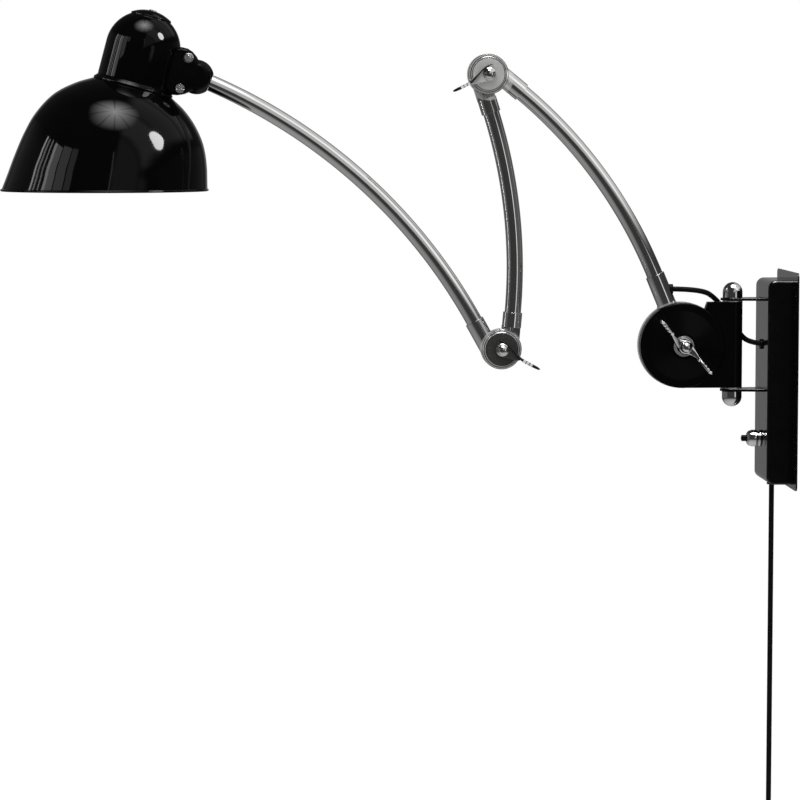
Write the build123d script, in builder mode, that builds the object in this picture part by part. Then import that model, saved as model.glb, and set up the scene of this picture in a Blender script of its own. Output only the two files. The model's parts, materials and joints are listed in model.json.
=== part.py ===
# Articulating wall lamp, in millimetres.
# Origin: centre of the wall plate's back face. +X points into the wall, +Z up,
# the arms lie in the plane Y = 0 and the wing nut is on the -Y side.
import os
from math import acos, atan2, cos, degrees, hypot, pi, radians, sin, sqrt, tan

from build123d import *

os.makedirs("parts", exist_ok=True)

# ------------------------------------------------------------------ sizes
plate_width = 124.0
plate_height = 225.0
plate_t = 1.5
plate_corner = 5.0
screw_dy = 101.0
screw_dz = 180.0
screw_hole_r = 2.5

box_width = 79.0
box_top = 104.0
box_bottom = -108.0
box_front = -28.0
box_round = 8.0
box_side_round = 2.5
sheet = 1.5

axis_x = -59.0  # vertical swivel axis
pin_r = 5.0
barrel_r = 10.45
barrel_low = -9.0
barrel_high = 80.6
washer_t = 1.2
lug_t = 2.5
lug_end_r = 12.5
lug_half_width = 17.0
nut_r = 10.35
nut_flat = 6.1
run_gap = 0.1

shoulder = (-112.7, 35.3)  # (X, Z) of the shoulder pivot
span_lower = 346.7
span_middle = 284.9
span_upper = 422.2
angle_lower = 125.83
angle_middle = -87.10
angle_upper = 138.21
bow_lower = 490.1
bow_middle = 530.4
bow_upper = 569.4

tube_r = 8.5
tube_bore = 7.0
collar_r = 10.0
flex_r = 2.75
insert = 13.0

disc_black_r = 44.3
web_front_y = 9.6
disc_chrome_r = 45.0
lap = 0.4
disc_rear = 10.3
shoulder_reach = 78.3
elbow_r = 21.0
elbow_half = 10.3
elbow_reach = 39.0
plate_neck = 23.5
friction_t = 0.7
bolt_r = 4.0
bolt_play = 0.08

ball_r = 17.8
ball_flat = 15.3
ball_reach = 16.0
seat_r = 18.1
shell_deep = 21.0
shell_round = 14.7

cap_offset = (-54.7, 28.85)  # cap centre from the ball centre
head_tilt = 15.0
cap_r = 38.5
cap_wall = 1.2
cap_skirt = 36.0
pad_r = 21.0
pad_sphere = 40.0
ring_r = 41.7
neck_h = -41.0
holder_r = 19.5
bulb_r = 30.0
shade_t = 1.1
rim_r = 105.7
bead_r = 1.3

cable_r = 2.75
cord_x = -16.1
switch_z = -62.7
gland_z = 36.0
coil_z = -575.0
coil_out = 43.35
coil_pitch = 6.1
coil_turns = 3.5


# ------------------------------------------------------------------ helpers
def polar(origin, length, angle):
    return (
        origin[0] + length * cos(radians(angle)),
        origin[1] + length * sin(radians(angle)),
    )


def front_plane(y):
    return Plane.XZ.offset(-y)


def along(point, direction, distance=0.0):
    x = point[0] + direction[0] * distance
    z = point[1] + direction[1] * distance
    return Plane(origin=(x, 0, z), x_dir=(0, 1, 0), z_dir=(direction[0], 0, direction[1]))


def rod(point, direction, start, end, radius, mode=Mode.ADD):
    with BuildSketch(along(point, direction, start)) as section:
        Circle(radius)
    extrude(section.sketch, amount=end - start, mode=mode)


def disc(center, y_front, y_rear, radius, mode=Mode.ADD):
    with BuildSketch(Plane.XZ.offset(-y_rear)) as section:
        with Locations(center):
            Circle(radius)
    extrude(section.sketch, amount=y_rear - y_front, mode=mode)


def turned(points, center, mode=Mode.ADD):
    x, z = center
    with BuildSketch(Plane(origin=(x, 0, z), x_dir=(1, 0, 0), z_dir=(0, 0, 1))) as section:
        with BuildLine():
            Polyline(*points, close=True)
        make_face()
    revolve(section.sketch, axis=Axis((x, 0, z), (0, 1, 0)), mode=mode)


def slab(outline, y_front, y_rear, mode=Mode.ADD):
    with BuildSketch(Plane.XZ.offset(-y_rear)) as section:
        with BuildLine():
            Polyline(*outline, close=True)
        make_face()
    extrude(section.sketch, amount=y_rear - y_front, mode=mode)


def bore(center, radius, y_front=-60.0, y_rear=60.0):
    disc(center, y_front, y_rear, radius, mode=Mode.SUBTRACT)


def arm_path(a, b, bow, side, reach_a, shift_a, reach_b, shift_b):
    """Centre line of a bowed arm: straight ends, one arc between them."""
    da = hypot(reach_a, bow - shift_a)
    db = hypot(reach_b, bow - shift_b)
    dx = b[0] - a[0]
    dz = b[1] - a[1]
    d = hypot(dx, dz)
    m = (da * da - db * db + d * d) / (2 * d)
    h = sqrt(da * da - m * m)
    ux = dx / d
    uz = dz / d
    c = (a[0] + m * ux - side * h * uz, a[1] + m * uz + side * h * ux)
    fa = atan2(a[1] - c[1], a[0] - c[0]) + side * atan2(reach_a, bow - shift_a)
    fb = atan2(b[1] - c[1], b[0] - c[0]) - side * atan2(reach_b, bow - shift_b)
    pa = (c[0] + bow * cos(fa), c[1] + bow * sin(fa))
    pb = (c[0] + bow * cos(fb), c[1] + bow * sin(fb))
    ta = (-side * sin(fa), side * cos(fa))
    tb = (-side * sin(fb), side * cos(fb))
    fm = (fa + fb) / 2
    pm = (c[0] + bow * cos(fm), c[1] + bow * sin(fm))
    return {"a": pa, "b": pb, "ta": ta, "tb": tb, "mid": pm, "c": c, "ra": reach_a, "rb": reach_b}


def arm_sweep(arm, back_a, back_b, radius, hollow=0.0):
    """Round bar or tube on an arm's centre line, running past both arc ends."""
    pa = arm["a"]
    pb = arm["b"]
    ta = arm["ta"]
    tb = arm["tb"]
    start = (pa[0] - ta[0] * back_a, pa[1] - ta[1] * back_a)
    end = (pb[0] + tb[0] * back_b, pb[1] + tb[1] * back_b)
    with BuildLine() as path:
        Line((start[0], 0, start[1]), (pa[0], 0, pa[1]))
        ThreePointArc((pa[0], 0, pa[1]), (arm["mid"][0], 0, arm["mid"][1]), (pb[0], 0, pb[1]))
        Line((pb[0], 0, pb[1]), (end[0], 0, end[1]))
    with BuildSketch(along(start, ta)) as section:
        Circle(radius)
        if hollow:
            Circle(hollow, mode=Mode.SUBTRACT)
    sweep(section.sketch, path=path.wires()[0])


def bend_radii(points):
    radii = []
    for i in range(1, len(points) - 1):
        u = Vector(*points[i]) - Vector(*points[i - 1])
        v = Vector(*points[i + 1]) - Vector(*points[i])
        turn = radians(u.get_angle(v))
        radii.append(0.45 * min(u.length, v.length) / tan(turn / 2))
    return radii


def cable(points, radius, name):
    """Round cable through route points, with a tangent arc at each bend."""
    radii = bend_radii(points)
    print(name, "bend radii", [round(r, 1) for r in radii])
    with BuildLine() as path:
        FilletPolyline(*points, radius=radii)
    wire = path.wires()[0]
    with BuildSketch(Plane(origin=wire @ 0, z_dir=wire % 0)) as section:
        Circle(radius)
    sweep(section.sketch, path=wire)


# ------------------------------------------------------------------ layout
elbow_up = polar(shoulder, span_lower, angle_lower)
elbow_low = polar(elbow_up, span_middle, angle_middle)
ball_at = polar(elbow_low, span_upper, angle_upper)
cap_at = (ball_at[0] + cap_offset[0], ball_at[1] + cap_offset[1])

shoulder_shift = 2.1
arm_1 = arm_path(
    shoulder, elbow_up, bow_lower, 1, shoulder_reach, shoulder_shift, elbow_reach, 8.0
)
arm_2 = arm_path(elbow_up, elbow_low, bow_middle, -1, elbow_reach, -8.8, elbow_reach, 8.7)
arm_3 = arm_path(elbow_low, ball_at, bow_upper, 1, elbow_reach, -10.4, ball_reach, 0.0)
print("elbows", elbow_up, elbow_low, "ball", ball_at, "cap", cap_at)
print("stem direction", arm_3["tb"], "arc centres", arm_1["c"], arm_2["c"], arm_3["c"])

lug_top_z = barrel_high + washer_t + run_gap
lug_low_z = barrel_low - washer_t - run_gap
stem = (-arm_3["tb"][0], -arm_3["tb"][1])  # from the ball towards the tube

ts = sin(radians(head_tilt))
tc = cos(radians(head_tilt))
cap_origin = (cap_at[0], 0, cap_at[1])
cap_axis = Axis(cap_origin, (ts, 0, tc))
cap_level = Plane(origin=cap_origin, x_dir=(tc, 0, -ts), z_dir=(ts, 0, tc))
cap_section = Plane(origin=cap_origin, x_dir=(tc, 0, -ts), z_dir=(0, -1, 0))


def head_turned(points, mode=Mode.ADD):
    with BuildSketch(cap_section) as section:
        with BuildLine():
            Polyline(*points, close=True)
        make_face()
    revolve(section.sketch, axis=cap_axis, mode=mode)


def head_point(r, y, h):
    return (cap_at[0] + r * tc + h * ts, y, cap_at[1] - r * ts + h * tc)


# ------------------------------------------------------------------ wall plate and box
cover_screw_at = [(-32, 96.5), (32, 96.5), (-32, -100.5), (32, -100.5)]
rivet_at = [(-10, 8), (10, 8), (-10, 64), (10, 64)]
clamp_screw_at = [(-6.3, -95), (6.3, -95)]

with BuildPart() as wall_plate:
    with BuildSketch(Plane.YZ):
        RectangleRounded(plate_width, plate_height, plate_corner)
        with GridLocations(screw_dy, screw_dz, 2, 2):
            Circle(screw_hole_r, mode=Mode.SUBTRACT)
        with Locations(*cover_screw_at, *clamp_screw_at):
            Circle(1.6, mode=Mode.SUBTRACT)
        with Locations(*rivet_at):
            Circle(2.5, mode=Mode.SUBTRACT)
    extrude(amount=-plate_t)
    with Locations(*[Location((-plate_t / 2, y, z), (0, 90, 0)) for y, z in cover_screw_at]):
        Cone(1.6, 2.75, plate_t, mode=Mode.SUBTRACT)
    with Locations(*[Location((-plate_t / 2, y, z), (0, 90, 0)) for y, z in rivet_at]):
        Cone(2.5, 4.0, plate_t, mode=Mode.SUBTRACT)
wall_plate.part.label = "wall_plate"
export_step(wall_plate.part, "parts/wall_plate.step")

box_mid = (box_top + box_bottom) / 2
box_height = box_top - box_bottom
with BuildPart() as box_cover:
    with BuildSketch(Plane.XZ.offset(-box_width / 2)) as side:
        with BuildLine():
            Polyline(
                (-plate_t, box_bottom),
                (box_front, box_bottom),
                (box_front, box_top),
                (-plate_t, box_top),
                close=True,
            )
        make_face()
        fillet(side.vertices().sort_by(Axis.X)[:2], radius=box_round)
    extrude(amount=box_width)
    front_edges = box_cover.faces().sort_by(Axis.Y)[0].edges()
    rear_edges = box_cover.faces().sort_by(Axis.Y)[-1].edges()
    keep = [e for e in front_edges + rear_edges if e.center().X < -plate_t - 0.1]
    fillet(keep, radius=box_side_round)
    with BuildSketch(Plane.XZ.offset(-box_width / 2 + sheet)) as hollow:
        with BuildLine():
            Polyline(
                (0, box_bottom + sheet),
                (box_front + sheet, box_bottom + sheet),
                (box_front + sheet, box_top - sheet),
                (0, box_top - sheet),
                close=True,
            )
        make_face()
        fillet(hollow.vertices().sort_by(Axis.X)[:2], radius=box_round - sheet)
    extrude(amount=box_width - 2 * sheet, mode=Mode.SUBTRACT)
    # threaded ears in the four back corners
    for y, z in cover_screw_at:
        with Locations((-plate_t - 1.25, y, z)):
            Box(2.5, 12, 12)
        with Locations(Location((-plate_t - 1.25, y, z), (0, 90, 0))):
            Cylinder(1.5, 2.5, mode=Mode.SUBTRACT)
    # slots for the hinge lugs
    for z in (lug_top_z + lug_t / 2, lug_low_z - lug_t / 2):
        with Locations((box_front, 0, z)):
            Box(8, 2 * lug_half_width + 0.4, lug_t + 0.4, mode=Mode.SUBTRACT)
    with Locations(Location((box_front, 0, gland_z), (0, 90, 0))):
        Cylinder(4.2, 8, mode=Mode.SUBTRACT)
    with Locations(Location((box_front, 0, switch_z), (0, 90, 0))):
        Cylinder(6.05, 8, mode=Mode.SUBTRACT)
    with Locations((cord_x, 0, box_bottom)):
        Cylinder(3.5, 8, mode=Mode.SUBTRACT)
box_cover.part.label = "box_cover"
export_step(box_cover.part, "parts/box_cover.step")

with BuildPart() as cover_screws:
    for y, z in cover_screw_at:
        with Locations(Location((-plate_t / 2, y, z), (0, 90, 0))):
            Cone(1.6, 2.75, plate_t)
        with Locations(Location((-plate_t - 2.75, y, z), (0, 90, 0))):
            Cylinder(1.5, 5.5)
cover_screws.part.label = "cover_screws"
export_step(cover_screws.part, "parts/cover_screws.step")

# ------------------------------------------------------------------ hinge
web_front = -plate_t - lug_t
with BuildPart() as hinge_bracket:
    with BuildSketch(Plane.XY.offset(lug_low_z - lug_t)):
        with BuildLine() as edge_lines:
            Line((-plate_t, -lug_half_width), (-plate_t, lug_half_width))
            Line((box_front, -lug_half_width), (box_front, lug_half_width))
            CenterArc((axis_x, 0), lug_end_r, 90, 180)
        make_hull(edge_lines.edges())
        with Locations((axis_x, 0)):
            Circle(pin_r, mode=Mode.SUBTRACT)
    extrude(amount=lug_top_z - lug_low_z + 2 * lug_t)
    with Locations(((-100 + web_front) / 2, 0, (lug_top_z + lug_low_z) / 2)):
        Box(100 + web_front, 60, lug_top_z - lug_low_z, mode=Mode.SUBTRACT)
    bends = hinge_bracket.edges().filter_by(Axis.Y)
    outer = [e for e in bends if abs(e.center().X + plate_t) < 0.01]
    fillet(outer, radius=3.5)
    inner = [
        e
        for e in hinge_bracket.edges().filter_by(Axis.Y)
        if abs(e.center().X - web_front) < 0.01
    ]
    fillet(inner, radius=1.2)
    with Locations(*[Location((-3, y, z), (0, 90, 0)) for y, z in rivet_at]):
        Cylinder(2.5, 12, mode=Mode.SUBTRACT)
    with Locations((cord_x, 2.7, lug_low_z - lug_t / 2)):
        Cylinder(3.6, 6, mode=Mode.SUBTRACT)
hinge_bracket.part.label = "hinge_bracket"
export_step(hinge_bracket.part, "parts/hinge_bracket.step")

with BuildPart() as bracket_rivets:
    for y, z in rivet_at:
        with Locations(Location((-plate_t / 2, y, z), (0, 90, 0))):
            Cone(2.5, 4.0, plate_t)
        with Locations(Location((-plate_t - 1.25, y, z), (0, 90, 0))):
            Cylinder(2.5, 2.5)
        with Locations(Location((web_front - 0.9, y, z), (0, -90, 0))):
            Cone(4.4, 3.0, 1.8)
bracket_rivets.part.label = "bracket_rivets"
export_step(bracket_rivets.part, "parts/bracket_rivets.step")

nut_low = lug_low_z - lug_t
nut_high = lug_top_z + lug_t
with BuildPart() as swivel_pin:
    with BuildSketch(Plane.XY.offset(nut_low - 9)):
        with Locations((axis_x, 0)):
            Circle(pin_r)
    extrude(amount=nut_high - nut_low + 18)
    chamfer(swivel_pin.edges(), length=0.8)
swivel_pin.part.label = "swivel_pin"
export_step(swivel_pin.part, "parts/swivel_pin.step")

with BuildPart() as swivel_acorn_nuts:
    for base, up in ((nut_high, 1), (nut_low, -1)):
        with BuildSketch(Plane(origin=(axis_x, 0, base), x_dir=(1, 0, 0), z_dir=(0, -1, 0))):
            with BuildLine():
                Polyline(
                    (0, up * (nut_flat + nut_r)),
                    (0, up * 9.5),
                    (pin_r, up * 9.5),
                    (pin_r, 0),
                    (nut_r - 0.6, 0),
                    (nut_r, up * 0.6),
                    (nut_r, up * nut_flat),
                )
                ThreePointArc(
                    (nut_r, up * nut_flat),
                    (nut_r * cos(pi / 4), up * (nut_flat + nut_r * sin(pi / 4))),
                    (0, up * (nut_flat + nut_r)),
                )
            make_face()
        revolve(axis=Axis((axis_x, 0, 0), (0, 0, 1)))
swivel_acorn_nuts.part.label = "swivel_acorn_nuts"
export_step(swivel_acorn_nuts.part, "parts/swivel_acorn_nuts.step")

with BuildPart() as swivel_washers:
    for z in (barrel_low - washer_t, barrel_high):
        with BuildSketch(Plane.XY.offset(z)):
            with Locations((axis_x, 0)):
                Circle(barrel_r - 0.05)
                Circle(pin_r + 0.08, mode=Mode.SUBTRACT)
        extrude(amount=washer_t)
swivel_washers.part.label = "swivel_washers"
export_step(swivel_washers.part, "parts/swivel_washers.step")

# ------------------------------------------------------------------ swivel casting
cone_y = -19.5
with BuildPart() as swivel_casting:
    with BuildSketch(Plane.XY.offset(barrel_low)):
        with Locations((axis_x, 0)):
            Circle(barrel_r)
    extrude(amount=barrel_high - barrel_low)
    web = [
        (axis_x, barrel_low),
        (shoulder[0], barrel_low),
        (shoulder[0], shoulder[1]),
        (-89.2, 72.8),
        (-86.4, barrel_high),
        (axis_x, barrel_high),
    ]
    slab(web, -web_front_y, -lap)
    disc(shoulder, -lap, 30, disc_chrome_r + 0.4, mode=Mode.SUBTRACT)
    profile = [
        (0, -lap),
        (disc_black_r, -lap),
        (disc_black_r, -11.2),
        (disc_black_r - 0.8, -12.0),
        (36.0, -12.0),
        (13.5, cone_y),
        (0, cone_y),
    ]
    turned(profile, shoulder)
    bore(shoulder, bolt_r + bolt_play)
    with BuildSketch(Plane.XY.offset(barrel_low - 1)):
        with Locations((axis_x, 0)):
            Circle(pin_r + 0.06)
    extrude(amount=barrel_high - barrel_low + 2, mode=Mode.SUBTRACT)
swivel_casting.part.label = "swivel_casting"
export_step(swivel_casting.part, "parts/swivel_casting.step")

with BuildPart() as shoulder_washer:
    disc(shoulder, cone_y - 2.0, cone_y, 10.5)
    bore(shoulder, bolt_r + bolt_play)
shoulder_washer.part.label = "shoulder_washer"
export_step(shoulder_washer.part, "parts/shoulder_washer.step")

# ------------------------------------------------------------------ shoulder eye
a1_back = (-arm_1["ta"][0], -arm_1["ta"][1])
foot_1 = (
    arm_1["a"][0] + a1_back[0] * shoulder_reach,
    arm_1["a"][1] + a1_back[1] * shoulder_reach,
)
up_1 = arm_1["ta"]
left_1 = (-up_1[1], up_1[0])
grommet_z = 93.8
flange_y = 4.0

neck_half = 9.2
neck_round = 7.0
neck_disc = disc_chrome_r - 0.6


def neck_point(u, v):
    return (foot_1[0] + up_1[0] * u + left_1[0] * v, foot_1[1] + up_1[1] * u + left_1[1] * v)


def flare(sign):
    """Tangent points and middle of the fillet between the disc and one neck edge."""
    v = sign * (neck_half + neck_round)
    off = v - shoulder_shift
    u = sqrt((neck_disc + neck_round) ** 2 - off ** 2)
    k = neck_disc / (neck_disc + neck_round)
    on_disc = (u * k, shoulder_shift + off * k)
    on_line = (u, sign * neck_half)
    mu = (on_disc[0] + on_line[0]) / 2 - u
    mv = (on_disc[1] + on_line[1]) / 2 - v
    m = hypot(mu, mv)
    middle = (u + mu / m * neck_round, v + mv / m * neck_round)
    return neck_point(*on_disc), neck_point(*middle), neck_point(*on_line)


with BuildPart() as shoulder_eye:
    rod(foot_1, up_1, 20.0, shoulder_reach, collar_r)
    disc(shoulder, -30, lap, disc_black_r + 0.7, mode=Mode.SUBTRACT)
    # flared neck plate blending the collar into the disc
    d1, m1, l1 = flare(1)
    d2, m2, l2 = flare(-1)
    with BuildSketch(Plane.XZ.offset(-flange_y)):
        with BuildLine():
            ThreePointArc(d1, m1, l1)
            Polyline(l1, neck_point(56, neck_half), neck_point(56, -neck_half), l2)
            ThreePointArc(l2, m2, d2)
            Polyline(d2, neck_point(0, shoulder_shift), d1)
        make_face()
    extrude(amount=flange_y - lap)
    profile = [
        (0, lap),
        (disc_chrome_r, lap),
        (disc_chrome_r, disc_rear - 1.2),
        (disc_chrome_r - 1.2, disc_rear),
        (0, disc_rear),
    ]
    turned(profile, shoulder)
    bore(shoulder, bolt_r)
    rod(foot_1, up_1, 52.0, shoulder_reach, tube_bore, mode=Mode.SUBTRACT)
    rod(foot_1, up_1, shoulder_reach - insert, shoulder_reach, tube_r, mode=Mode.SUBTRACT)
    with Locations(Location((-124.0, 0, grommet_z), (0, 90, 0))):
        Cylinder(4.0, 9, mode=Mode.SUBTRACT)
shoulder_eye.part.label = "shoulder_eye"
export_step(shoulder_eye.part, "parts/shoulder_eye.step")

with BuildPart() as cable_grommet:
    with Locations(Location((-123.9, 0, grommet_z), (0, 90, 0))):
        Cylinder(5.2, 4.0)
    rod(foot_1, up_1, 30.0, shoulder_reach, collar_r, mode=Mode.SUBTRACT)
    with Locations(Location((-125.2, 0, grommet_z), (0, 90, 0))):
        Cylinder(4.0, 5.4)
    rod(foot_1, up_1, 30.0, shoulder_reach, tube_bore, mode=Mode.SUBTRACT)
    with Locations(Location((-124.0, 0, grommet_z), (0, 90, 0))):
        Cylinder(cable_r + 0.1, 12, mode=Mode.SUBTRACT)
cable_grommet.part.label = "cable_grommet"
export_step(cable_grommet.part, "parts/cable_grommet.step")

with BuildPart() as shoulder_friction_disc:
    disc(shoulder, lap - friction_t, lap, disc_black_r - 2)
    bore(shoulder, 12.0)
shoulder_friction_disc.part.label = "shoulder_friction_disc"
export_step(shoulder_friction_disc.part, "parts/shoulder_friction_disc.step")

with BuildPart() as shoulder_bolt:
    disc(shoulder, -36.0, disc_rear, bolt_r)
    profile = [
        (0, disc_rear),
        (9.0, disc_rear),
        (9.0, disc_rear + 1.6),
        (7.6, disc_rear + 3.4),
        (5.0, disc_rear + 4.6),
        (0, disc_rear + 5.2),
    ]
    turned(profile, shoulder)
shoulder_bolt.part.label = "shoulder_bolt"
export_step(shoulder_bolt.part, "parts/shoulder_bolt.step")

# ------------------------------------------------------------------ wing nut
wing_base = cone_y - 2.0 - 0.3
wing_root = (0.747, -0.665)  # direction of the lower wing in the arm plane
wing_t = 2.6


def wing_strip():
    """S-shaped strip of the two wings, seen along the bolt."""
    nx = -wing_root[1]
    nz = wing_root[0]
    stations = [(-38.3, 2.6), (-30.0, 3.0), (-20.0, 0.8), (-9.0, -1.2), (0.0, 0.0)]
    stations += [(9.0, 1.2), (20.0, -0.8), (30.0, -3.0), (38.3, -2.6)]
    center = []
    for a, b in stations:
        center.append(
            (
                shoulder[0] + wing_root[0] * a + nx * b,
                shoulder[1] + wing_root[1] * a + nz * b,
            )
        )
    return center


with BuildPart() as shoulder_wing_nut:
    # wings: a curved strip cut to the wing outline
    with BuildSketch(front_plane(wing_base - 1.0)):
        with BuildLine():
            Spline(*wing_strip())
        trace(line_width=wing_t)
    extrude(amount=24.0)
    wing_side = Plane(
        origin=(shoulder[0], 0, shoulder[1]),
        x_dir=(wing_root[0], 0, wing_root[1]),
        z_dir=(-wing_root[1], 0, wing_root[0]),
    )
    low = -wing_base + 1.0
    outline = [
        (-37.0, low + 12.5),
        (-30.0, low + 7.5),
        (-16.0, low + 1.5),
        (-5.0, low),
        (5.0, low),
        (16.0, low + 1.5),
        (30.0, low + 7.5),
        (37.0, low + 12.5),
        (39.5, low + 17.5),
        (37.5, low + 21.5),
        (32.0, low + 22.5),
        (24.0, low + 19.5),
        (14.0, low + 14.0),
        (5.0, low + 12.0),
        (-5.0, low + 12.0),
        (-14.0, low + 14.0),
        (-24.0, low + 19.5),
        (-32.0, low + 22.5),
        (-37.5, low + 21.5),
        (-39.5, low + 17.5),
    ]
    flip = wing_side.y_dir.Y
    with BuildSketch(wing_side.offset(-10)):
        with BuildLine():
            Polyline(*[(a, -b * flip) for a, b in outline], close=True)
        make_face()
    extrude(amount=20, mode=Mode.INTERSECT)
    profile = [
        (0, wing_base),
        (9.0, wing_base),
        (8.6, wing_base - 3.0),
        (6.6, wing_base - 13.0),
        (5.6, wing_base - 15.5),
        (5.0, wing_base - 17.5),
        (3.6, wing_base - 19.2),
        (0, wing_base - 20.2),
    ]
    turned(profile, shoulder)
    disc(shoulder, -36.4, 10, bolt_r + bolt_play, mode=Mode.SUBTRACT)
shoulder_wing_nut.part.label = "shoulder_wing_nut"
export_step(shoulder_wing_nut.part, "parts/shoulder_wing_nut.step")

# ------------------------------------------------------------------ arm tubes and flexes
with BuildPart() as arm_lower_tube:
    arm_sweep(arm_1, insert, insert, tube_r, tube_bore)
arm_lower_tube.part.label = "arm_lower_tube"
export_step(arm_lower_tube.part, "parts/arm_lower_tube.step")

with BuildPart() as arm_middle_tube:
    arm_sweep(arm_2, insert, insert, tube_r, tube_bore)
arm_middle_tube.part.label = "arm_middle_tube"
export_step(arm_middle_tube.part, "parts/arm_middle_tube.step")

with BuildPart() as arm_upper_tube:
    arm_sweep(arm_3, insert, ball_reach - ball_flat, tube_r, tube_bore)
arm_upper_tube.part.label = "arm_upper_tube"
export_step(arm_upper_tube.part, "parts/arm_upper_tube.step")

flex_end = elbow_reach - plate_neck - 0.5
with BuildPart() as arm_lower_flex:
    arm_sweep(arm_1, insert, flex_end, flex_r)
arm_lower_flex.part.label = "arm_lower_flex"
export_step(arm_lower_flex.part, "parts/arm_lower_flex.step")

with BuildPart() as arm_middle_flex:
    arm_sweep(arm_2, flex_end, flex_end, flex_r)
arm_middle_flex.part.label = "arm_middle_flex"
export_step(arm_middle_flex.part, "parts/arm_middle_flex.step")

with BuildPart() as arm_upper_flex:
    arm_sweep(arm_3, flex_end, ball_reach + 10.0, flex_r)
arm_upper_flex.part.label = "arm_upper_flex"
export_step(arm_upper_flex.part, "parts/arm_upper_flex.step")


# ------------------------------------------------------------------ elbow eyes
def front_eye(pivot, foot, u):
    rod(foot, u, 2.0, elbow_reach, collar_r)
    disc(pivot, -lap, 30, elbow_r + 0.5, mode=Mode.SUBTRACT)
    profile = [
        (0, -lap),
        (elbow_r, -lap),
        (elbow_r, -6.2),
        (elbow_r - 0.9, -7.2),
        (18.4, -7.2),
        (17.7, -7.8),
        (17.7, -elbow_half),
        (0, -elbow_half),
    ]
    turned(profile, pivot)
    disc(pivot, -30, -8.5, 16.6, mode=Mode.SUBTRACT)
    turned([(5.4, 0), (11.6, 0), (11.6, -4.4), (5.4, -4.4)], pivot, mode=Mode.SUBTRACT)
    bore(pivot, bolt_r + bolt_play)
    rod(foot, u, 6.0, elbow_reach, flex_r, mode=Mode.SUBTRACT)
    rod(foot, u, elbow_reach - insert, elbow_reach, tube_r, mode=Mode.SUBTRACT)


def rear_eye(pivot, foot, u):
    left = (-u[1], u[0])
    edge = []
    for a, b in ((-2, 9.6), (plate_neck + 1, 9.6), (plate_neck + 1, -9.6), (-2, -9.6)):
        edge.append((foot[0] + u[0] * a + left[0] * b, foot[1] + u[1] * a + left[1] * b))
    slab(edge, lap, 9.2)
    profile = [
        (0, lap),
        (elbow_r, lap),
        (elbow_r, elbow_half - 0.9),
        (elbow_r - 0.9, elbow_half),
        (0, elbow_half),
    ]
    turned(profile, pivot)
    rod(foot, u, plate_neck, elbow_reach, collar_r)
    turned([(5.4, 0), (11.6, 0), (11.6, 4.4), (5.4, 4.4)], pivot, mode=Mode.SUBTRACT)
    bore(pivot, bolt_r)
    rod(foot, u, 6.0, elbow_reach, flex_r, mode=Mode.SUBTRACT)
    rod(foot, u, elbow_reach - insert, elbow_reach, tube_r, mode=Mode.SUBTRACT)


def end_b(arm):
    u = (-arm["tb"][0], -arm["tb"][1])
    foot = (arm["b"][0] - u[0] * arm["rb"], arm["b"][1] - u[1] * arm["rb"])
    return foot, u


def end_a(arm):
    u = arm["ta"]
    foot = (arm["a"][0] - u[0] * arm["ra"], arm["a"][1] - u[1] * arm["ra"])
    return foot, u


with BuildPart() as upper_elbow_front_eye:
    front_eye(elbow_up, *end_b(arm_1))
upper_elbow_front_eye.part.label = "upper_elbow_front_eye"
export_step(upper_elbow_front_eye.part, "parts/upper_elbow_front_eye.step")

with BuildPart() as upper_elbow_rear_eye:
    rear_eye(elbow_up, *end_a(arm_2))
upper_elbow_rear_eye.part.label = "upper_elbow_rear_eye"
export_step(upper_elbow_rear_eye.part, "parts/upper_elbow_rear_eye.step")

with BuildPart() as lower_elbow_rear_eye:
    rear_eye(elbow_low, *end_b(arm_2))
lower_elbow_rear_eye.part.label = "lower_elbow_rear_eye"
export_step(lower_elbow_rear_eye.part, "parts/lower_elbow_rear_eye.step")

with BuildPart() as lower_elbow_front_eye:
    front_eye(elbow_low, *end_a(arm_3))
lower_elbow_front_eye.part.label = "lower_elbow_front_eye"
export_step(lower_elbow_front_eye.part, "parts/lower_elbow_front_eye.step")

with BuildPart() as upper_elbow_pressure_plate:
    disc(elbow_up, -elbow_half, -8.5, 16.4)
    bore(elbow_up, bolt_r + bolt_play)
upper_elbow_pressure_plate.part.label = "upper_elbow_pressure_plate"
export_step(upper_elbow_pressure_plate.part, "parts/upper_elbow_pressure_plate.step")

with BuildPart() as lower_elbow_pressure_plate:
    disc(elbow_low, -elbow_half, -8.5, 16.4)
    bore(elbow_low, bolt_r + bolt_play)
lower_elbow_pressure_plate.part.label = "lower_elbow_pressure_plate"
export_step(lower_elbow_pressure_plate.part, "parts/lower_elbow_pressure_plate.step")

with BuildPart() as elbow_friction_discs:
    for pivot in (elbow_up, elbow_low):
        disc(pivot, lap - friction_t, lap, elbow_r - 0.6)
        bore(pivot, 12.5)
elbow_friction_discs.part.label = "elbow_friction_discs"
export_step(elbow_friction_discs.part, "parts/elbow_friction_discs.step")

with BuildPart() as elbow_wire_loops:
    for pivot in (elbow_up, elbow_low):
        disc(pivot, 0.9, 4.4, 10.8)
        bore(pivot, 6.2)
elbow_wire_loops.part.label = "elbow_wire_loops"
export_step(elbow_wire_loops.part, "parts/elbow_wire_loops.step")

lever_y = -elbow_half - 0.3
with BuildPart() as elbow_bolts:
    for pivot in (elbow_up, elbow_low):
        disc(pivot, lever_y - 8.6, elbow_half, bolt_r)
        profile = [
            (0, elbow_half),
            (7.5, elbow_half),
            (7.5, elbow_half + 1.4),
            (6.2, elbow_half + 2.8),
            (4.0, elbow_half + 3.7),
            (0, elbow_half + 4.2),
        ]
        turned(profile, pivot)
elbow_bolts.part.label = "elbow_bolts"
export_step(elbow_bolts.part, "parts/elbow_bolts.step")


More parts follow.
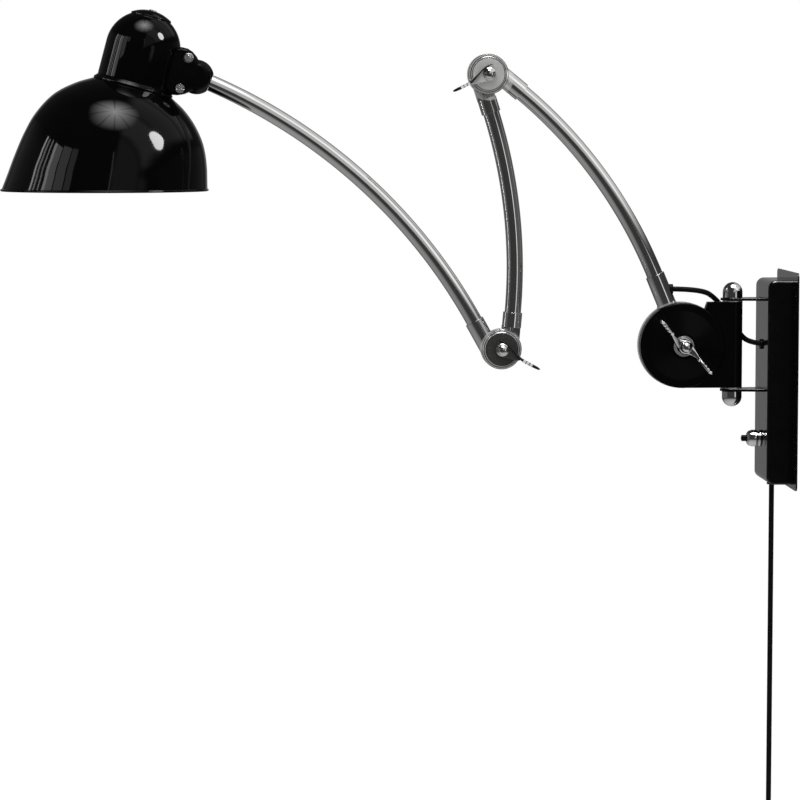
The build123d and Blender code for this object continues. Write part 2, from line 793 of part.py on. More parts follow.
def lever(pivot, tip):
    dx = tip[0] - pivot[0]
    dz = tip[1] - pivot[1]
    length = hypot(dx, dz)
    u = (dx / length, dz / length)
    n = (-u[1], u[0])
    near = (pivot[0] + u[0] * 16, pivot[1] + u[1] * 16)
    with BuildSketch(front_plane(lever_y)) as drop:
        with BuildLine() as shape:
            CenterArc(pivot, 7.2, 0, 360)
            CenterArc(near, 3.4, 0, 360)
        make_hull(shape.edges())
    extrude(drop.sketch, amount=7.2)
    edge = []
    half = [(12, 2.0), (length - 2, 1.5), (length, 0.6)]
    for a, b in half + [(a, -b) for a, b in reversed(half)]:
        edge.append((pivot[0] + u[0] * a + n[0] * b, pivot[1] + u[1] * a + n[1] * b))
    slab(edge, lever_y - 11.5, lever_y - 3.0)
    profile = [
        (0, lever_y),
        (7.2, lever_y),
        (7.2, lever_y - 7.2),
        (5.8, lever_y - 8.8),
        (5.3, lever_y - 10.2),
        (4.3, lever_y - 12.0),
        (2.4, lever_y - 13.2),
        (0, lever_y - 13.7),
    ]
    turned(profile, pivot)
    disc(pivot, lever_y - 9.0, 0, bolt_r + bolt_play, mode=Mode.SUBTRACT)


with BuildPart() as upper_elbow_lever:
    lever(elbow_up, (-352.7, 298.5))
upper_elbow_lever.part.label = "upper_elbow_lever"
export_step(upper_elbow_lever.part, "parts/upper_elbow_lever.step")

with BuildPart() as lower_elbow_lever:
    lever(elbow_low, (-262.7, 11.7))
lower_elbow_lever.part.label = "lower_elbow_lever"
export_step(lower_elbow_lever.part, "parts/lower_elbow_lever.step")

# ------------------------------------------------------------------ ball knuckle
with BuildPart() as knuckle_ball:
    with Locations((ball_at[0], 0, ball_at[1])):
        Sphere(ball_r)
    rod(ball_at, stem, ball_flat - 0.3, 30, 25, mode=Mode.SUBTRACT)
    rod(ball_at, stem, -30, 30, 5.06, mode=Mode.SUBTRACT)
    rod(ball_at, stem, -30, -9.0, 8.0, mode=Mode.SUBTRACT)
knuckle_ball.part.label = "knuckle_ball"
export_step(knuckle_ball.part, "parts/knuckle_ball.step")

with BuildPart() as ball_nipple:
    rod(ball_at, stem, -13.0, 36, 5.0)
    rod(ball_at, stem, ball_flat + 0.4, 28, tube_bore - 0.3)
    rod(ball_at, stem, -14, ball_reach, flex_r, mode=Mode.SUBTRACT)
    rod(ball_at, stem, ball_reach, 40, flex_r + 0.5, mode=Mode.SUBTRACT)
ball_nipple.part.label = "ball_nipple"
export_step(ball_nipple.part, "parts/ball_nipple.step")

with BuildPart() as ball_retaining_nut:
    rod(ball_at, stem, -12.6, -9.2, 7.4)
    rod(ball_at, stem, -14, -8, 5.0, mode=Mode.SUBTRACT)
ball_retaining_nut.part.label = "ball_retaining_nut"
export_step(ball_retaining_nut.part, "parts/ball_retaining_nut.step")

shell_outline = [
    (-638.4, 338.6),
    (-635.8, 342.5),
    (-631.2, 343.5),
    (-624.5, 341.8),
    (-619.5, 338.5),
    (-615.4, 333.4),
    (-612.4, 327.3),
    (-616.1, 300.0),
    (-622.8, 298.2),
    (-628.9, 295.7),
    (-636.1, 294.6),
    (-643.2, 295.1),
    (-648.0, 298.0),
    (-655.0, 305.0),
    (-655.0, 330.0),
]
clamp_up = (-623.7, 332.5)
clamp_low = (-632.9, 301.2)
saddle_y = 9.5
saddle_h = -13.7


def head_rod(y, h, start, end, radius, mode=Mode.ADD):
    origin = head_point(start, y, h)
    with BuildSketch(Plane(origin=origin, x_dir=(0, 1, 0), z_dir=(tc, 0, -ts))) as section:
        Circle(radius)
    extrude(section.sketch, amount=end - start, mode=mode)


def cap_relief():
    """Space taken by the outside of the cap and its flange ring."""
    with BuildSketch(cap_section) as section:
        with BuildLine():
            Polyline((0, 38.6), (0, -48), (42.0, -48), (42.0, -39.0), (38.6, -35.6), (38.6, 0))
            ThreePointArc((38.6, 0), (38.6 * cos(pi / 4), 38.6 * sin(pi / 4)), (0, 38.6))
        make_face()
    revolve(section.sketch, axis=cap_axis, mode=Mode.SUBTRACT)


def clamp_shell(side):
    with BuildSketch(front_plane(side * 0.2)) as section:
        with BuildLine():
            Polyline(*shell_outline, close=True)
        make_face()
        with Locations(ball_at):
            Circle(shell_round)
    extrude(section.sketch, amount=-side * (shell_deep - 0.2))


def clamp_cuts(side):
    with Locations((ball_at[0], 0, ball_at[1])):
        Sphere(seat_r, mode=Mode.SUBTRACT)
    cap_relief()
    rod(ball_at, stem, -34, -8, 4.5, mode=Mode.SUBTRACT)
    for at in (clamp_up, clamp_low):
        bore(at, 2.45)
        if side < 0:
            disc(at, -40, -17.5, 5.6, mode=Mode.SUBTRACT)
        else:
            disc(at, 17.5, 40, 5.6, mode=Mode.SUBTRACT)
    head_rod(side * saddle_y, saddle_h, 30, 44.0, 2.0, mode=Mode.SUBTRACT)


with BuildPart() as knuckle_front_shell:
    clamp_shell(-1)
    rim = knuckle_front_shell.faces().sort_by(Axis.Y)[0].edges()
    fillet(rim, radius=5.0)
    clamp_cuts(-1)
knuckle_front_shell.part.label = "knuckle_front_shell"
export_step(knuckle_front_shell.part, "parts/knuckle_front_shell.step")

with BuildPart() as knuckle_rear_shell:
    clamp_shell(1)
    rim = knuckle_rear_shell.faces().sort_by(Axis.Y)[-1].edges()
    fillet(rim, radius=5.0)
    clamp_cuts(1)
knuckle_rear_shell.part.label = "knuckle_rear_shell"
export_step(knuckle_rear_shell.part, "parts/knuckle_rear_shell.step")

with BuildPart() as knuckle_screws:
    for at, s in ((clamp_up, 1), (clamp_low, -1)):
        disc(at, -21.6, 21.6, 2.4)
        lo = min(s * 17.5, s * 20.8)
        hi = max(s * 17.5, s * 20.8)
        disc(at, lo, hi, 4.7)
        with Locations((at[0], s * 20.8, at[1])):
            Box(12, 2.4, 1.2, mode=Mode.SUBTRACT)
knuckle_screws.part.label = "knuckle_screws"
export_step(knuckle_screws.part, "parts/knuckle_screws.step")

with BuildPart() as knuckle_nuts:
    for at, s in ((clamp_up, -1), (clamp_low, 1)):
        with BuildSketch(Plane.XZ.offset(-s * 17.5)):
            with Locations(at):
                Circle(5.3)
        extrude(amount=-s * 0.7)
        with BuildSketch(Plane.XZ.offset(-s * 18.2)):
            with Locations(at):
                RegularPolygon(4.9, 6)
        extrude(amount=-s * 3.0)
        bore(at, 2.4)
knuckle_nuts.part.label = "knuckle_nuts"
export_step(knuckle_nuts.part, "parts/knuckle_nuts.step")

with BuildPart() as saddle_screws:
    for y in (-saddle_y, saddle_y):
        head_rod(y, saddle_h, 32.6, 34.8, 3.6)
        head_rod(y, saddle_h, 34.8, 43.5, 2.0)
saddle_screws.part.label = "saddle_screws"
export_step(saddle_screws.part, "parts/saddle_screws.step")

# ------------------------------------------------------------------ cap and lampholder
cap_in = cap_r - cap_wall
with BuildPart() as cap:
    with BuildSketch(cap_section):
        with BuildLine():
            a_pad = degrees(acos(pad_r / cap_r))
            b_pad = degrees(acos(pad_r / pad_sphere))
            b_hole = degrees(acos(2.05 / pad_sphere))
            a_boss = degrees(acos(8.0 / cap_in))
            Line((cap_r, -cap_skirt), (cap_r, 0))
            CenterArc((0, 0), cap_r, 0, a_pad)
            Line(
                (pad_r, cap_r * sin(radians(a_pad))),
                (pad_r, pad_sphere * sin(radians(b_pad))),
            )
            CenterArc((0, 0), pad_sphere, b_pad, b_hole - b_pad)
            Polyline(
                (2.05, pad_sphere * sin(radians(b_hole))),
                (2.05, 35.0),
                (8.0, 35.0),
                (8.0, cap_in * sin(radians(a_boss))),
            )
            CenterArc((0, 0), cap_in, a_boss, -a_boss)
            Polyline((cap_in, 0), (cap_in, -cap_skirt), (cap_r, -cap_skirt))
        make_face()
    revolve(axis=cap_axis)
    with BuildSketch(cap_level.offset(38.4)):
        Circle(4.6)
    extrude(amount=5, mode=Mode.SUBTRACT)
    rod(ball_at, stem, -40, -14, 4.5, mode=Mode.SUBTRACT)
    for y in (-saddle_y, saddle_y):
        head_rod(y, saddle_h, 30, 45, 2.05, mode=Mode.SUBTRACT)
        head_rod(y, saddle_h, 25, 34.8, 3.8, mode=Mode.SUBTRACT)
cap.part.label = "cap"
export_step(cap.part, "parts/cap.step")

with BuildPart() as cap_screw:
    head_turned([(0, 24.6), (2.0, 24.6), (2.0, 38.4), (4.4, 38.4), (4.4, 39.8), (3.2, 40.7), (0, 41.0)])
    with Locations(cap_level.offset(40.8).location):
        Box(10, 1.1, 1.6, mode=Mode.SUBTRACT)
cap_screw.part.label = "cap_screw"
export_step(cap_screw.part, "parts/cap_screw.step")

with BuildPart() as cap_flange_ring:
    ring_profile = [
        (20.3, -38.6),
        (35.8, -38.6),
        (35.8, -33.0),
        (cap_in - 0.05, -33.0),
        (cap_in - 0.05, -cap_skirt),
        (cap_r, -cap_skirt),
        (ring_r, -39.4),
        (ring_r, neck_h),
        (20.3, neck_h),
    ]
    head_turned(ring_profile)
cap_flange_ring.part.label = "cap_flange_ring"
export_step(cap_flange_ring.part, "parts/cap_flange_ring.step")

with BuildPart() as lampholder:
    holder_profile = [
        (0, -22.0),
        (13.3, -22.0),
        (13.3, -46.0),
        (14.6, -46.0),
        (14.6, -54.0),
        (holder_r, -54.0),
        (holder_r, 3.0),
        (17.0, 6.0),
        (8.0, 9.0),
        (8.0, 35.0),
        (2.0, 35.0),
        (2.0, 24.5),
        (0, 24.5),
    ]
    head_turned(holder_profile)
    with BuildSketch(cap_level.offset(5.0)):
        with Locations((12.0, 0)):
            Circle(0.95)
    extrude(amount=6, mode=Mode.SUBTRACT)
lampholder.part.label = "lampholder"
export_step(lampholder.part, "parts/lampholder.step")

with BuildPart() as head_lead:
    start_x = ball_at[0] - stem[0] * 20.5
    start_z = ball_at[1] - stem[1] * 20.5
    mid_x = ball_at[0] - stem[0] * 34.0
    mid_z = ball_at[1] - stem[1] * 34.0
    cable(
        [
            (start_x, 0, start_z),
            (mid_x, 0, mid_z),
            head_point(25.0, 0, 17.0),
            head_point(12.0, 0, 17.0),
            head_point(12.0, 0, 5.0),
        ],
        0.95,
        "head_lead",
    )
head_lead.part.label = "head_lead"
export_step(head_lead.part, "parts/head_lead.step")

with BuildPart() as shade_ring:
    head_turned(
        [
            (holder_r, neck_h - shade_t),
            (25.5, neck_h - shade_t),
            (25.5, neck_h - shade_t - 4.0),
            (23.5, neck_h - shade_t - 5.5),
            (holder_r, neck_h - shade_t - 5.5),
        ]
    )
shade_ring.part.label = "shade_ring"
export_step(shade_ring.part, "parts/shade_ring.step")

with BuildPart() as bulb_base:
    head_turned([(0, -22.0), (4.0, -22.0), (12.0, -24.5), (13.3, -26.0), (13.3, -50.0), (0, -50.0)])
bulb_base.part.label = "bulb_base"
export_step(bulb_base.part, "parts/bulb_base.step")

with BuildPart() as bulb_glass:
    with BuildSketch(cap_section):
        with BuildLine():
            Line((0, -50.0), (13.2, -50.0))
            Spline(
                (13.2, -50.0),
                (17.0, -63.0),
                (25.5, -79.5),
                (bulb_r, -98.0),
                tangents=((0.1, -1), (0, -1)),
            )
            ThreePointArc(
                (bulb_r, -98.0),
                (bulb_r * cos(pi / 4), -98.0 - bulb_r * sin(pi / 4)),
                (0, -98.0 - bulb_r),
            )
            Line((0, -98.0 - bulb_r), (0, -50.0))
        make_face()
    revolve(axis=cap_axis)
bulb_glass.part.label = "bulb_glass"
export_step(bulb_glass.part, "parts/bulb_glass.step")

# ------------------------------------------------------------------ shade
# (dx, dz) of each circle's centre from the cap centre, its radius and its tilt
shade_sections = [
    (neck_h * ts, neck_h * tc, 41.0, 15.0),
    (-14.1, -48.4, 57.0, 14.0),
    (-20.0, -61.4, 73.3, 12.0),
    (-25.4, -79.6, 86.2, 9.2),
    (-29.2, -95.6, 93.0, 6.8),
    (-33.6, -115.6, 98.8, 4.0),
    (-37.0, -130.8, 102.3, 2.0),
    (-40.3, -144.6, rim_r, 0.0),
]


def shade_plane(dx, dz, tilt, drop):
    s = sin(radians(tilt))
    c = cos(radians(tilt))
    origin = (cap_at[0] + dx - s * drop, 0, cap_at[1] + dz - c * drop)
    return Plane(origin=origin, x_dir=(c, 0, -s), z_dir=(s, 0, c))


with BuildPart() as shade:
    for dx, dz, r, tilt in shade_sections:
        with BuildSketch(shade_plane(dx, dz, tilt, 0)):
            Circle(r)
    loft()
    for dx, dz, r, tilt in shade_sections:
        with BuildSketch(shade_plane(dx, dz, tilt, shade_t)):
            Circle(r - shade_t + 0.3)
    loft(mode=Mode.SUBTRACT)
    with BuildSketch(cap_level.offset(neck_h - 10)):
        Circle(20.3)
    extrude(amount=20, mode=Mode.SUBTRACT)
    with Locations(shade_plane(-40.3, -144.6, 0, 0).location):
        Torus(rim_r, bead_r)
shade.part.label = "shade"
export_step(shade.part, "parts/shade.step")

# ------------------------------------------------------------------ switch
with BuildPart() as switch_body:
    with Locations(Location((-18.25, 0, switch_z), (0, 90, 0))):
        Cylinder(10.0, 16.5)
    with Locations(Location((-31.25, 0, switch_z), (0, 90, 0))):
        Cylinder(6.0, 9.5)
    with Locations(Location((-33.25, 0, switch_z), (0, 90, 0))):
        Cylinder(4.7, 5.5, mode=Mode.SUBTRACT)
    with Locations(Location((-27.0, 0, switch_z), (0, 90, 0))):
        Cylinder(2.1, 10.0, mode=Mode.SUBTRACT)
    with Locations((cord_x, 0, switch_z - 10.0)):
        Cylinder(cable_r, 4.4, mode=Mode.SUBTRACT)
    with Locations((cord_x, 0, switch_z + 10.0)):
        Cylinder(2.4, 6.0, mode=Mode.SUBTRACT)
switch_body.part.label = "switch_body"
export_step(switch_body.part, "parts/switch_body.step")

with BuildPart() as switch_collar:
    with Locations(Location((-35.55, 0, switch_z), (0, 90, 0))):
        Cylinder(8.9, 15.1)
    fillet(switch_collar.edges().sort_by(Axis.X)[0], radius=1.4)
    with Locations(Location((-32.0, 0, switch_z), (0, 90, 0))):
        Cylinder(6.0, 8.0, mode=Mode.SUBTRACT)
    with Locations(Location((-40.0, 0, switch_z), (0, 90, 0))):
        Cylinder(3.35, 10.0, mode=Mode.SUBTRACT)
switch_collar.part.label = "switch_collar"
export_step(switch_collar.part, "parts/switch_collar.step")

with BuildPart() as switch_button:
    with Locations(Location((-41.4, 0, switch_z), (0, 90, 0))):
        Cylinder(3.25, 14.8)
    fillet(switch_button.edges().sort_by(Axis.X)[0], radius=1.6)
    with Locations(Location((-34.65, 0, switch_z), (0, 90, 0))):
        Cylinder(4.4, 2.5)
    with Locations(Location((-29.5, 0, switch_z), (0, 90, 0))):
        Cylinder(2.0, 9.0)
switch_button.part.label = "switch_button"
export_step(switch_button.part, "parts/switch_button.step")

# ------------------------------------------------------------------ wiring in the box
with BuildPart() as terminal_block:
    with Locations((-12.0, 0, gland_z)):
        Box(16, 30, 24)
    fillet(terminal_block.edges().filter_by(Axis.X), radius=2)
    with Locations(Location((-17.5, 0, gland_z), (0, 90, 0))):
        Cylinder(cable_r, 5.0, mode=Mode.SUBTRACT)
    with Locations((cord_x, 0, gland_z - 10.5)):
        Cylinder(2.4, 3.0, mode=Mode.SUBTRACT)
    for y, z in ((-10, 30), (10, 30), (-10, 42), (10, 42)):
        with Locations(Location((-14, y, z), (0, 90, 0))):
            Cylinder(1.9, 12.2, mode=Mode.SUBTRACT)
terminal_block.part.label = "terminal_block"
export_step(terminal_block.part, "parts/terminal_block.step")

with BuildPart() as terminal_screws:
    for y, z in ((-10, 30), (10, 30), (-10, 42), (10, 42)):
        with Locations(Location((-13.6, y, z), (0, 90, 0))):
            Cylinder(1.9, 11.4)
        with Locations((-19.3, y, z)):
            Box(1.2, 0.8, 5, mode=Mode.SUBTRACT)
terminal_screws.part.label = "terminal_screws"
export_step(terminal_screws.part, "parts/terminal_screws.step")

with BuildPart() as inner_lead:
    cable(
        [(cord_x, 0, switch_z + 7.2), (cord_x, 3.5, -14.0), (cord_x, 0, gland_z - 9.2)],
        2.0,
        "inner_lead",
    )
inner_lead.part.label = "inner_lead"
export_step(inner_lead.part, "parts/inner_lead.step")

with BuildPart() as cable_gland:
    with Locations(Location((box_front - 1.0, 0, gland_z), (0, 90, 0))):
        Cylinder(5.25, 2.0)
    with Locations(Location((box_front + 1.0, 0, gland_z), (0, 90, 0))):
        Cylinder(4.2, 2.4)
    with Locations(Location((box_front + sheet + 0.75, 0, gland_z), (0, 90, 0))):
        Cylinder(5.25, 1.5)
    with Locations(Location((box_front, 0, gland_z), (0, 90, 0))):
        Cylinder(cable_r, 12, mode=Mode.SUBTRACT)
cable_gland.part.label = "cable_gland"
export_step(cable_gland.part, "parts/cable_gland.step")

with BuildPart() as cord_bush:
    with Locations((cord_x, 0, box_bottom - 1.65)):
        Cylinder(5.0, 3.3)
    with Locations((cord_x, 0, box_bottom + 0.75)):
        Cylinder(3.5, 1.5)
    with Locations((cord_x, 0, box_bottom + sheet + 0.75)):
        Cylinder(3.85, 1.5)
    with Locations((cord_x, 0, box_bottom)):
        Cylinder(cable_r, 12, mode=Mode.SUBTRACT)
cord_bush.part.label = "cord_bush"
export_step(cord_bush.part, "parts/cord_bush.step")

with BuildPart() as cord_clamp:
    with Locations(((-21.5 - plate_t) / 2, 0, -95.0)):
        Box(21.5 - plate_t, 20, 8)
    fillet(cord_clamp.edges().filter_by(Axis.Z), radius=1.0)
    with Locations((cord_x, 0, -95.0)):
        Cylinder(cable_r, 10, mode=Mode.SUBTRACT)
    for y, z in clamp_screw_at:
        with Locations(Location((-12, y, z), (0, 90, 0))):
            Cylinder(1.6, 30, mode=Mode.SUBTRACT)
cord_clamp.part.label = "cord_clamp"
export_step(cord_clamp.part, "parts/cord_clamp.step")

with BuildPart() as cord_clamp_screws:
    for y, z in clamp_screw_at:
        with Locations(Location((-11.0, y, z), (0, 90, 0))):
            Cylinder(1.6, 21.0)
        with Locations(Location((-22.5, y, z), (0, 90, 0))):
            Cylinder(2.8, 2.0)
cord_clamp_screws.part.label = "cord_clamp_screws"
export_step(cord_clamp_screws.part, "parts/cord_clamp_screws.step")

# ------------------------------------------------------------------ jumper cable
jumper_a = [
    (-127.3, 0, grommet_z),
    (-91.0, 0, grommet_z),
    (-74.0, 9.5, 82.0),
    (-66.5, 14.5, 71.5),
    (-59.0, 14.5, 60.0),
]
jumper_b = [
    (-59.0, 14.5, 60.0),
    (-51.5, 14.5, 48.5),
    (-40.0, 0, gland_z),
    (-15.0, 0, gland_z),
]
with BuildPart() as jumper_upper:
    cable(jumper_a, cable_r, "jumper_upper")
jumper_upper.part.label = "jumper_upper"
export_step(jumper_upper.part, "parts/jumper_upper.step")

with BuildPart() as jumper_lower:
    cable(jumper_b, cable_r, "jumper_lower")
jumper_lower.part.label = "jumper_lower"
export_step(jumper_lower.part, "parts/jumper_lower.step")

# ------------------------------------------------------------------ mains cord
coil_lead = 5.5
cord_route = [
    (cord_x, 0, switch_z - 7.8),
    (cord_x, 0, -484.0),
    (cord_x, coil_out, -525.0),
    (cord_x, coil_out, coil_z + coil_lead),
]
with BuildPart() as mains_cord:
    cable(cord_route, cable_r, "mains_cord")
mains_cord.part.label = "mains_cord"
export_step(mains_cord.part, "parts/mains_cord.step")


def coil_point(angle):
    turn = 2 * pi * coil_turns
    grow = coil_pitch / (2 * pi)
    if angle <= turn:
        r = coil_out - grow * angle
    else:
        r = coil_out - grow * (2 * turn - angle)
    climb = min(max((angle - turn + pi / 2) / pi, 0.0), 1.0)
    climb = climb * climb * (3 - 2 * climb)
    return Vector(cord_x - coil_pitch * climb, r * cos(angle), coil_z - r * sin(angle))


def coil_tangent(angle, last):
    if angle <= 0 or angle >= last:
        return Vector(0, 0, -1)
    return (coil_point(angle + 1e-3) - coil_point(angle - 1e-3)).normalized()


coil_steps = int(round(coil_turns * 2 * 4))
coil_last = 2 * pi * coil_turns * 2
with BuildPart() as mains_coil:
    with BuildLine() as coil_line:
        p0 = coil_point(0)
        t0 = Vector(0, 0, -1)
        Line(p0 + Vector(0, 0, coil_lead), p0)
        for k in range(1, coil_steps + 1):
            p1 = coil_point(k * pi / 2)
            t1 = coil_tangent(k * pi / 2, coil_last)
            v = p1 - p0
            t = t0 + t1
            q = 2 * (1 - t0.dot(t1))
            d = (-v.dot(t) + sqrt(v.dot(t) ** 2 + q * v.dot(v))) / q
            pm = (p0 + p1 + (t0 - t1) * d) * 0.5
            arc = TangentArc(p0, pm, tangent=t0)
            TangentArc(pm, p1, tangent=arc % 1)
            p0 = p1
            t0 = t1
        Line(p0, p0 + Vector(0, 0, -coil_lead))
    coil_wire = coil_line.wires()[0]
    with BuildSketch(Plane(origin=coil_wire @ 0, z_dir=(0, 0, -1))):
        Circle(cable_r)
    sweep(path=coil_wire)
mains_coil.part.label = "mains_coil"
export_step(mains_coil.part, "parts/mains_coil.step")

samples = 700
dots = [coil_wire @ (i / samples) for i in range(samples + 1)]
step_len = coil_wire.length / samples
near = int(30 / step_len)
least = 1e9
for i in range(samples + 1):
    for j in range(i + near, samples + 1):
        least = min(least, (dots[i] - dots[j]).length)
print("coil length", round(coil_wire.length, 1), "least gap", round(least - 2 * cable_r, 3))

tail_x = cord_x - coil_pitch
tail_top = coil_z - coil_lead
plug_top = -618.0
with BuildPart() as mains_tail:
    with BuildSketch(Plane.XY.offset(plug_top)):
        with Locations((tail_x, coil_out)):
            Circle(cable_r)
    extrude(amount=tail_top - plug_top)
mains_tail.part.label = "mains_tail"
export_step(mains_tail.part, "parts/mains_tail.step")

with BuildPart() as coil_tie:
    with BuildSketch(Plane.XZ.offset(-2.2)):
        with Locations((cord_x - coil_pitch / 2, coil_z + 32.65)):
            RectangleRounded(14.8, 27.2, 4.2)
            RectangleRounded(12.4, 24.8, 3.0, mode=Mode.SUBTRACT)
    extrude(amount=4.4)
coil_tie.part.label = "coil_tie"
export_step(coil_tie.part, "parts/coil_tie.step")

with BuildPart() as plug_body:
    with BuildSketch(Plane.XY.offset(plug_top - 36)) as base:
        with Locations((tail_x, coil_out)):
            RectangleRounded(13.5, 27, 5)
    with BuildSketch(Plane.XY.offset(plug_top)) as top:
        with Locations((tail_x, coil_out)):
            RectangleRounded(11, 16, 4)
    loft()
    with BuildSketch(Plane.XY.offset(plug_top - 1)):
        with Locations((tail_x, coil_out)):
            Circle(4.6)
    extrude(amount=9.0, taper=7)
    with BuildSketch(Plane.XY.offset(plug_top)):
        with Locations((tail_x, coil_out)):
            Circle(cable_r)
    extrude(amount=20.0, mode=Mode.SUBTRACT)
    with BuildSketch(Plane.XY.offset(plug_top - 36)):
        with Locations((tail_x, coil_out - 9.5), (tail_x, coil_out + 9.5)):
            Circle(2.0)
    extrude(amount=9.0, mode=Mode.SUBTRACT)
plug_body.part.label = "plug_body"
export_step(plug_body.part, "parts/plug_body.step")

with BuildPart() as plug_pins:
    with BuildSketch(Plane.XY.offset(plug_top - 55)):
        with Locations((tail_x, coil_out - 9.5), (tail_x, coil_out + 9.5)):
            Circle(2.0)
    extrude(amount=28.0)
    fillet(plug_pins.edges().sort_by(Axis.Z)[:2], radius=1.2)
plug_pins.part.label = "plug_pins"
export_step(plug_pins.part, "parts/plug_pins.step")
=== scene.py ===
import json
from math import acos, asin, atan2, copysign, cos, degrees, hypot, pi, radians, sin, sqrt, tan

import bmesh
import bpy
from bpy.props import FloatProperty, FloatVectorProperty, IntProperty, PointerProperty
from mathutils import Matrix, Vector


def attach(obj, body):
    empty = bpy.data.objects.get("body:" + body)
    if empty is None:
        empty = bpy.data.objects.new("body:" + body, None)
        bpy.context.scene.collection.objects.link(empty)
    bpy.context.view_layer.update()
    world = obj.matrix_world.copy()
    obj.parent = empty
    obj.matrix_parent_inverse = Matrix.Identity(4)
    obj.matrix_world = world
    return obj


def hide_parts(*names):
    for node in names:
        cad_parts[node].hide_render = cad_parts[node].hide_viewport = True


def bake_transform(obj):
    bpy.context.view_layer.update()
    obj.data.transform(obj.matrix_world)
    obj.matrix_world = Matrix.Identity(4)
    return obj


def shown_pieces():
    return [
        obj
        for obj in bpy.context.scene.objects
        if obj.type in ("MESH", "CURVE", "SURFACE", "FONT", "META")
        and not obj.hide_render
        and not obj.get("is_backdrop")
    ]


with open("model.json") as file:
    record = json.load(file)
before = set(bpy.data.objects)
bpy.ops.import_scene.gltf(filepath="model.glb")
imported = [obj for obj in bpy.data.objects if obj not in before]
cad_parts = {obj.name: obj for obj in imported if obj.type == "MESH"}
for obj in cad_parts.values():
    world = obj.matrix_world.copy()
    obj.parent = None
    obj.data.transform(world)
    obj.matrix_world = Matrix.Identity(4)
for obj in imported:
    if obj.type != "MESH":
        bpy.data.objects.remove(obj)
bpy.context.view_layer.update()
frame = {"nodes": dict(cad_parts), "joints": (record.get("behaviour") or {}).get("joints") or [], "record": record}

bl_info = {
    "name": "Articulating Wall Lamp",
    "version": (1, 0, 0),
    "blender": (4, 5, 0),
    "location": "View3D > Sidebar > Wall Lamp",
    "description": "Finishes, shells, cables and fittings of a jointed wall lamp",
    "category": "Add Mesh",
}

MM = 0.001
dark_gloss = 0.12  # how strongly the black finishes mirror, 0.5 being window glass
box_gloss = 0.3  # the same for the box paint
slots = {row["node"]: row["material_slot"] for row in frame["record"]["subparts"]}
pivot = {j["name"]: Vector(j["pos_m"]) / MM for j in frame["joints"] if "pos_m" in j}

# ---------------------------------------------------------------- layout, in millimetres
shoulder = pivot["shoulder"]
elbow_up = pivot["upper_elbow"]
elbow_low = pivot["lower_elbow"]
ball_at = pivot["head_tilt"]
cap_at = ball_at + Vector((-54.7, 0, 28.85))
head_tilt = radians(15.0)
neck_h = -41.0
neck_bore = 20.3
cap_sheet = 1.2
clamp_seat = 17.5  # how far from the arm plane the clamp screws' nuts sit
clamp_up = (-623.7, 332.5)
clamp_low = (-632.9, 301.2)
cord_x = -16.1
switch_z = -62.7
gland_z = 36.0
grommet_z = 93.8
coil_z = -575.0
coil_out = 43.35
coil_pitch = 6.1
coil_turns = 3.5
plug_top = -618.0
tube_insert = 13.0
elbow_reach = 39.0

crease = radians(32)  # edges that turn by more than this stay sharp
rib_crease = radians(40)


# ---------------------------------------------------------------- settings
def size(name, description, default):
    return FloatProperty(name=name, description=description, default=default, unit="LENGTH")


def amount(name, description, default, low, high):
    return IntProperty(name=name, description=description, default=default, min=low, max=high)


def colour(name, description, default):
    return FloatVectorProperty(name=name, description=description, default=default,
                               subtype="COLOR", min=0, max=1)


class LampSizes(bpy.types.PropertyGroup):
    """Sizes of the pieces that are modelled here."""

    tube_radius: size("Tube radius", "Outside of an arm tube", 0.0085)
    tube_bore: size("Tube bore", "Inside radius of an arm tube", 0.007)
    rim_radius: size("Shade rim radius", "Radius at the shade's mouth", 0.1057)
    shade_sheet: size("Shade sheet", "Thickness of the shade's metal", 0.0011)
    rim_bead: size("Rim bead", "Radius of the rolled rim", 0.0013)
    cap_radius: size("Cap radius", "Outside radius of the cap", 0.0385)
    cable_radius: size("Cable radius", "Radius of the mains cable", 0.00275)
    blade: size("Lever blade", "Thickness of a lever's blade", 0.0030)
    wing: size("Wing", "Thickness of a wing of the wing nut", 0.0026)
    round_steps: amount("Round steps", "Steps round a turned piece", 144, 24, 256)
    wing_ribs: amount("Wing ribs", "Grip ribs on each side of a wing", 5, 1, 12)
    washer_teeth: amount("Washer teeth", "Teeth of a lock washer", 16, 6, 32)


class LampFinishes(bpy.types.PropertyGroup):
    """Colours of the finishes."""

    enamel: colour("Enamel", "Gloss enamel of shade and cap", (0.0014, 0.0014, 0.0016))
    lining: colour("Lining", "White enamel inside the shade", (0.80, 0.79, 0.76))
    paint: colour("Box paint", "Paint of plate, box and bracket", (0.0018, 0.0018, 0.0020))
    casting: colour("Casting paint", "Paint of the castings", (0.0016, 0.0016, 0.0018))
    chrome: colour("Chrome", "Polished chrome plate", (0.74, 0.74, 0.735))
    rubber: colour("Cable", "Cable sheath", (0.004, 0.004, 0.0045))


class LampStudio(bpy.types.PropertyGroup):
    """Camera and light."""

    lens: FloatProperty(name="Lens", description="Focal length in millimetres", default=144.0)
    turn: FloatProperty(name="Turn", description="Camera turn to the right",
                        default=radians(3.2081), subtype="ANGLE")
    dip: FloatProperty(name="Dip", description="Camera pitch downwards",
                       default=radians(4.8229), subtype="ANGLE")
    fill: FloatProperty(name="Fill", description="Even light from all round", default=0.62)
    key: FloatProperty(name="Key", description="Power of the soft lamp", default=16.0,
                       subtype="POWER")


def sizes():
    return bpy.context.scene.lamp_sizes


def colours():
    return bpy.context.scene.lamp_finishes


# ---------------------------------------------------------------- node helpers
def give(tree, node, inputs):
    """Each input gets its value, or the link from another node's output."""
    for name, value in inputs.items():
        if isinstance(value, bpy.types.NodeSocket):
            tree.links.new(value, node.inputs[name])
        else:
            node.inputs[name].default_value = value


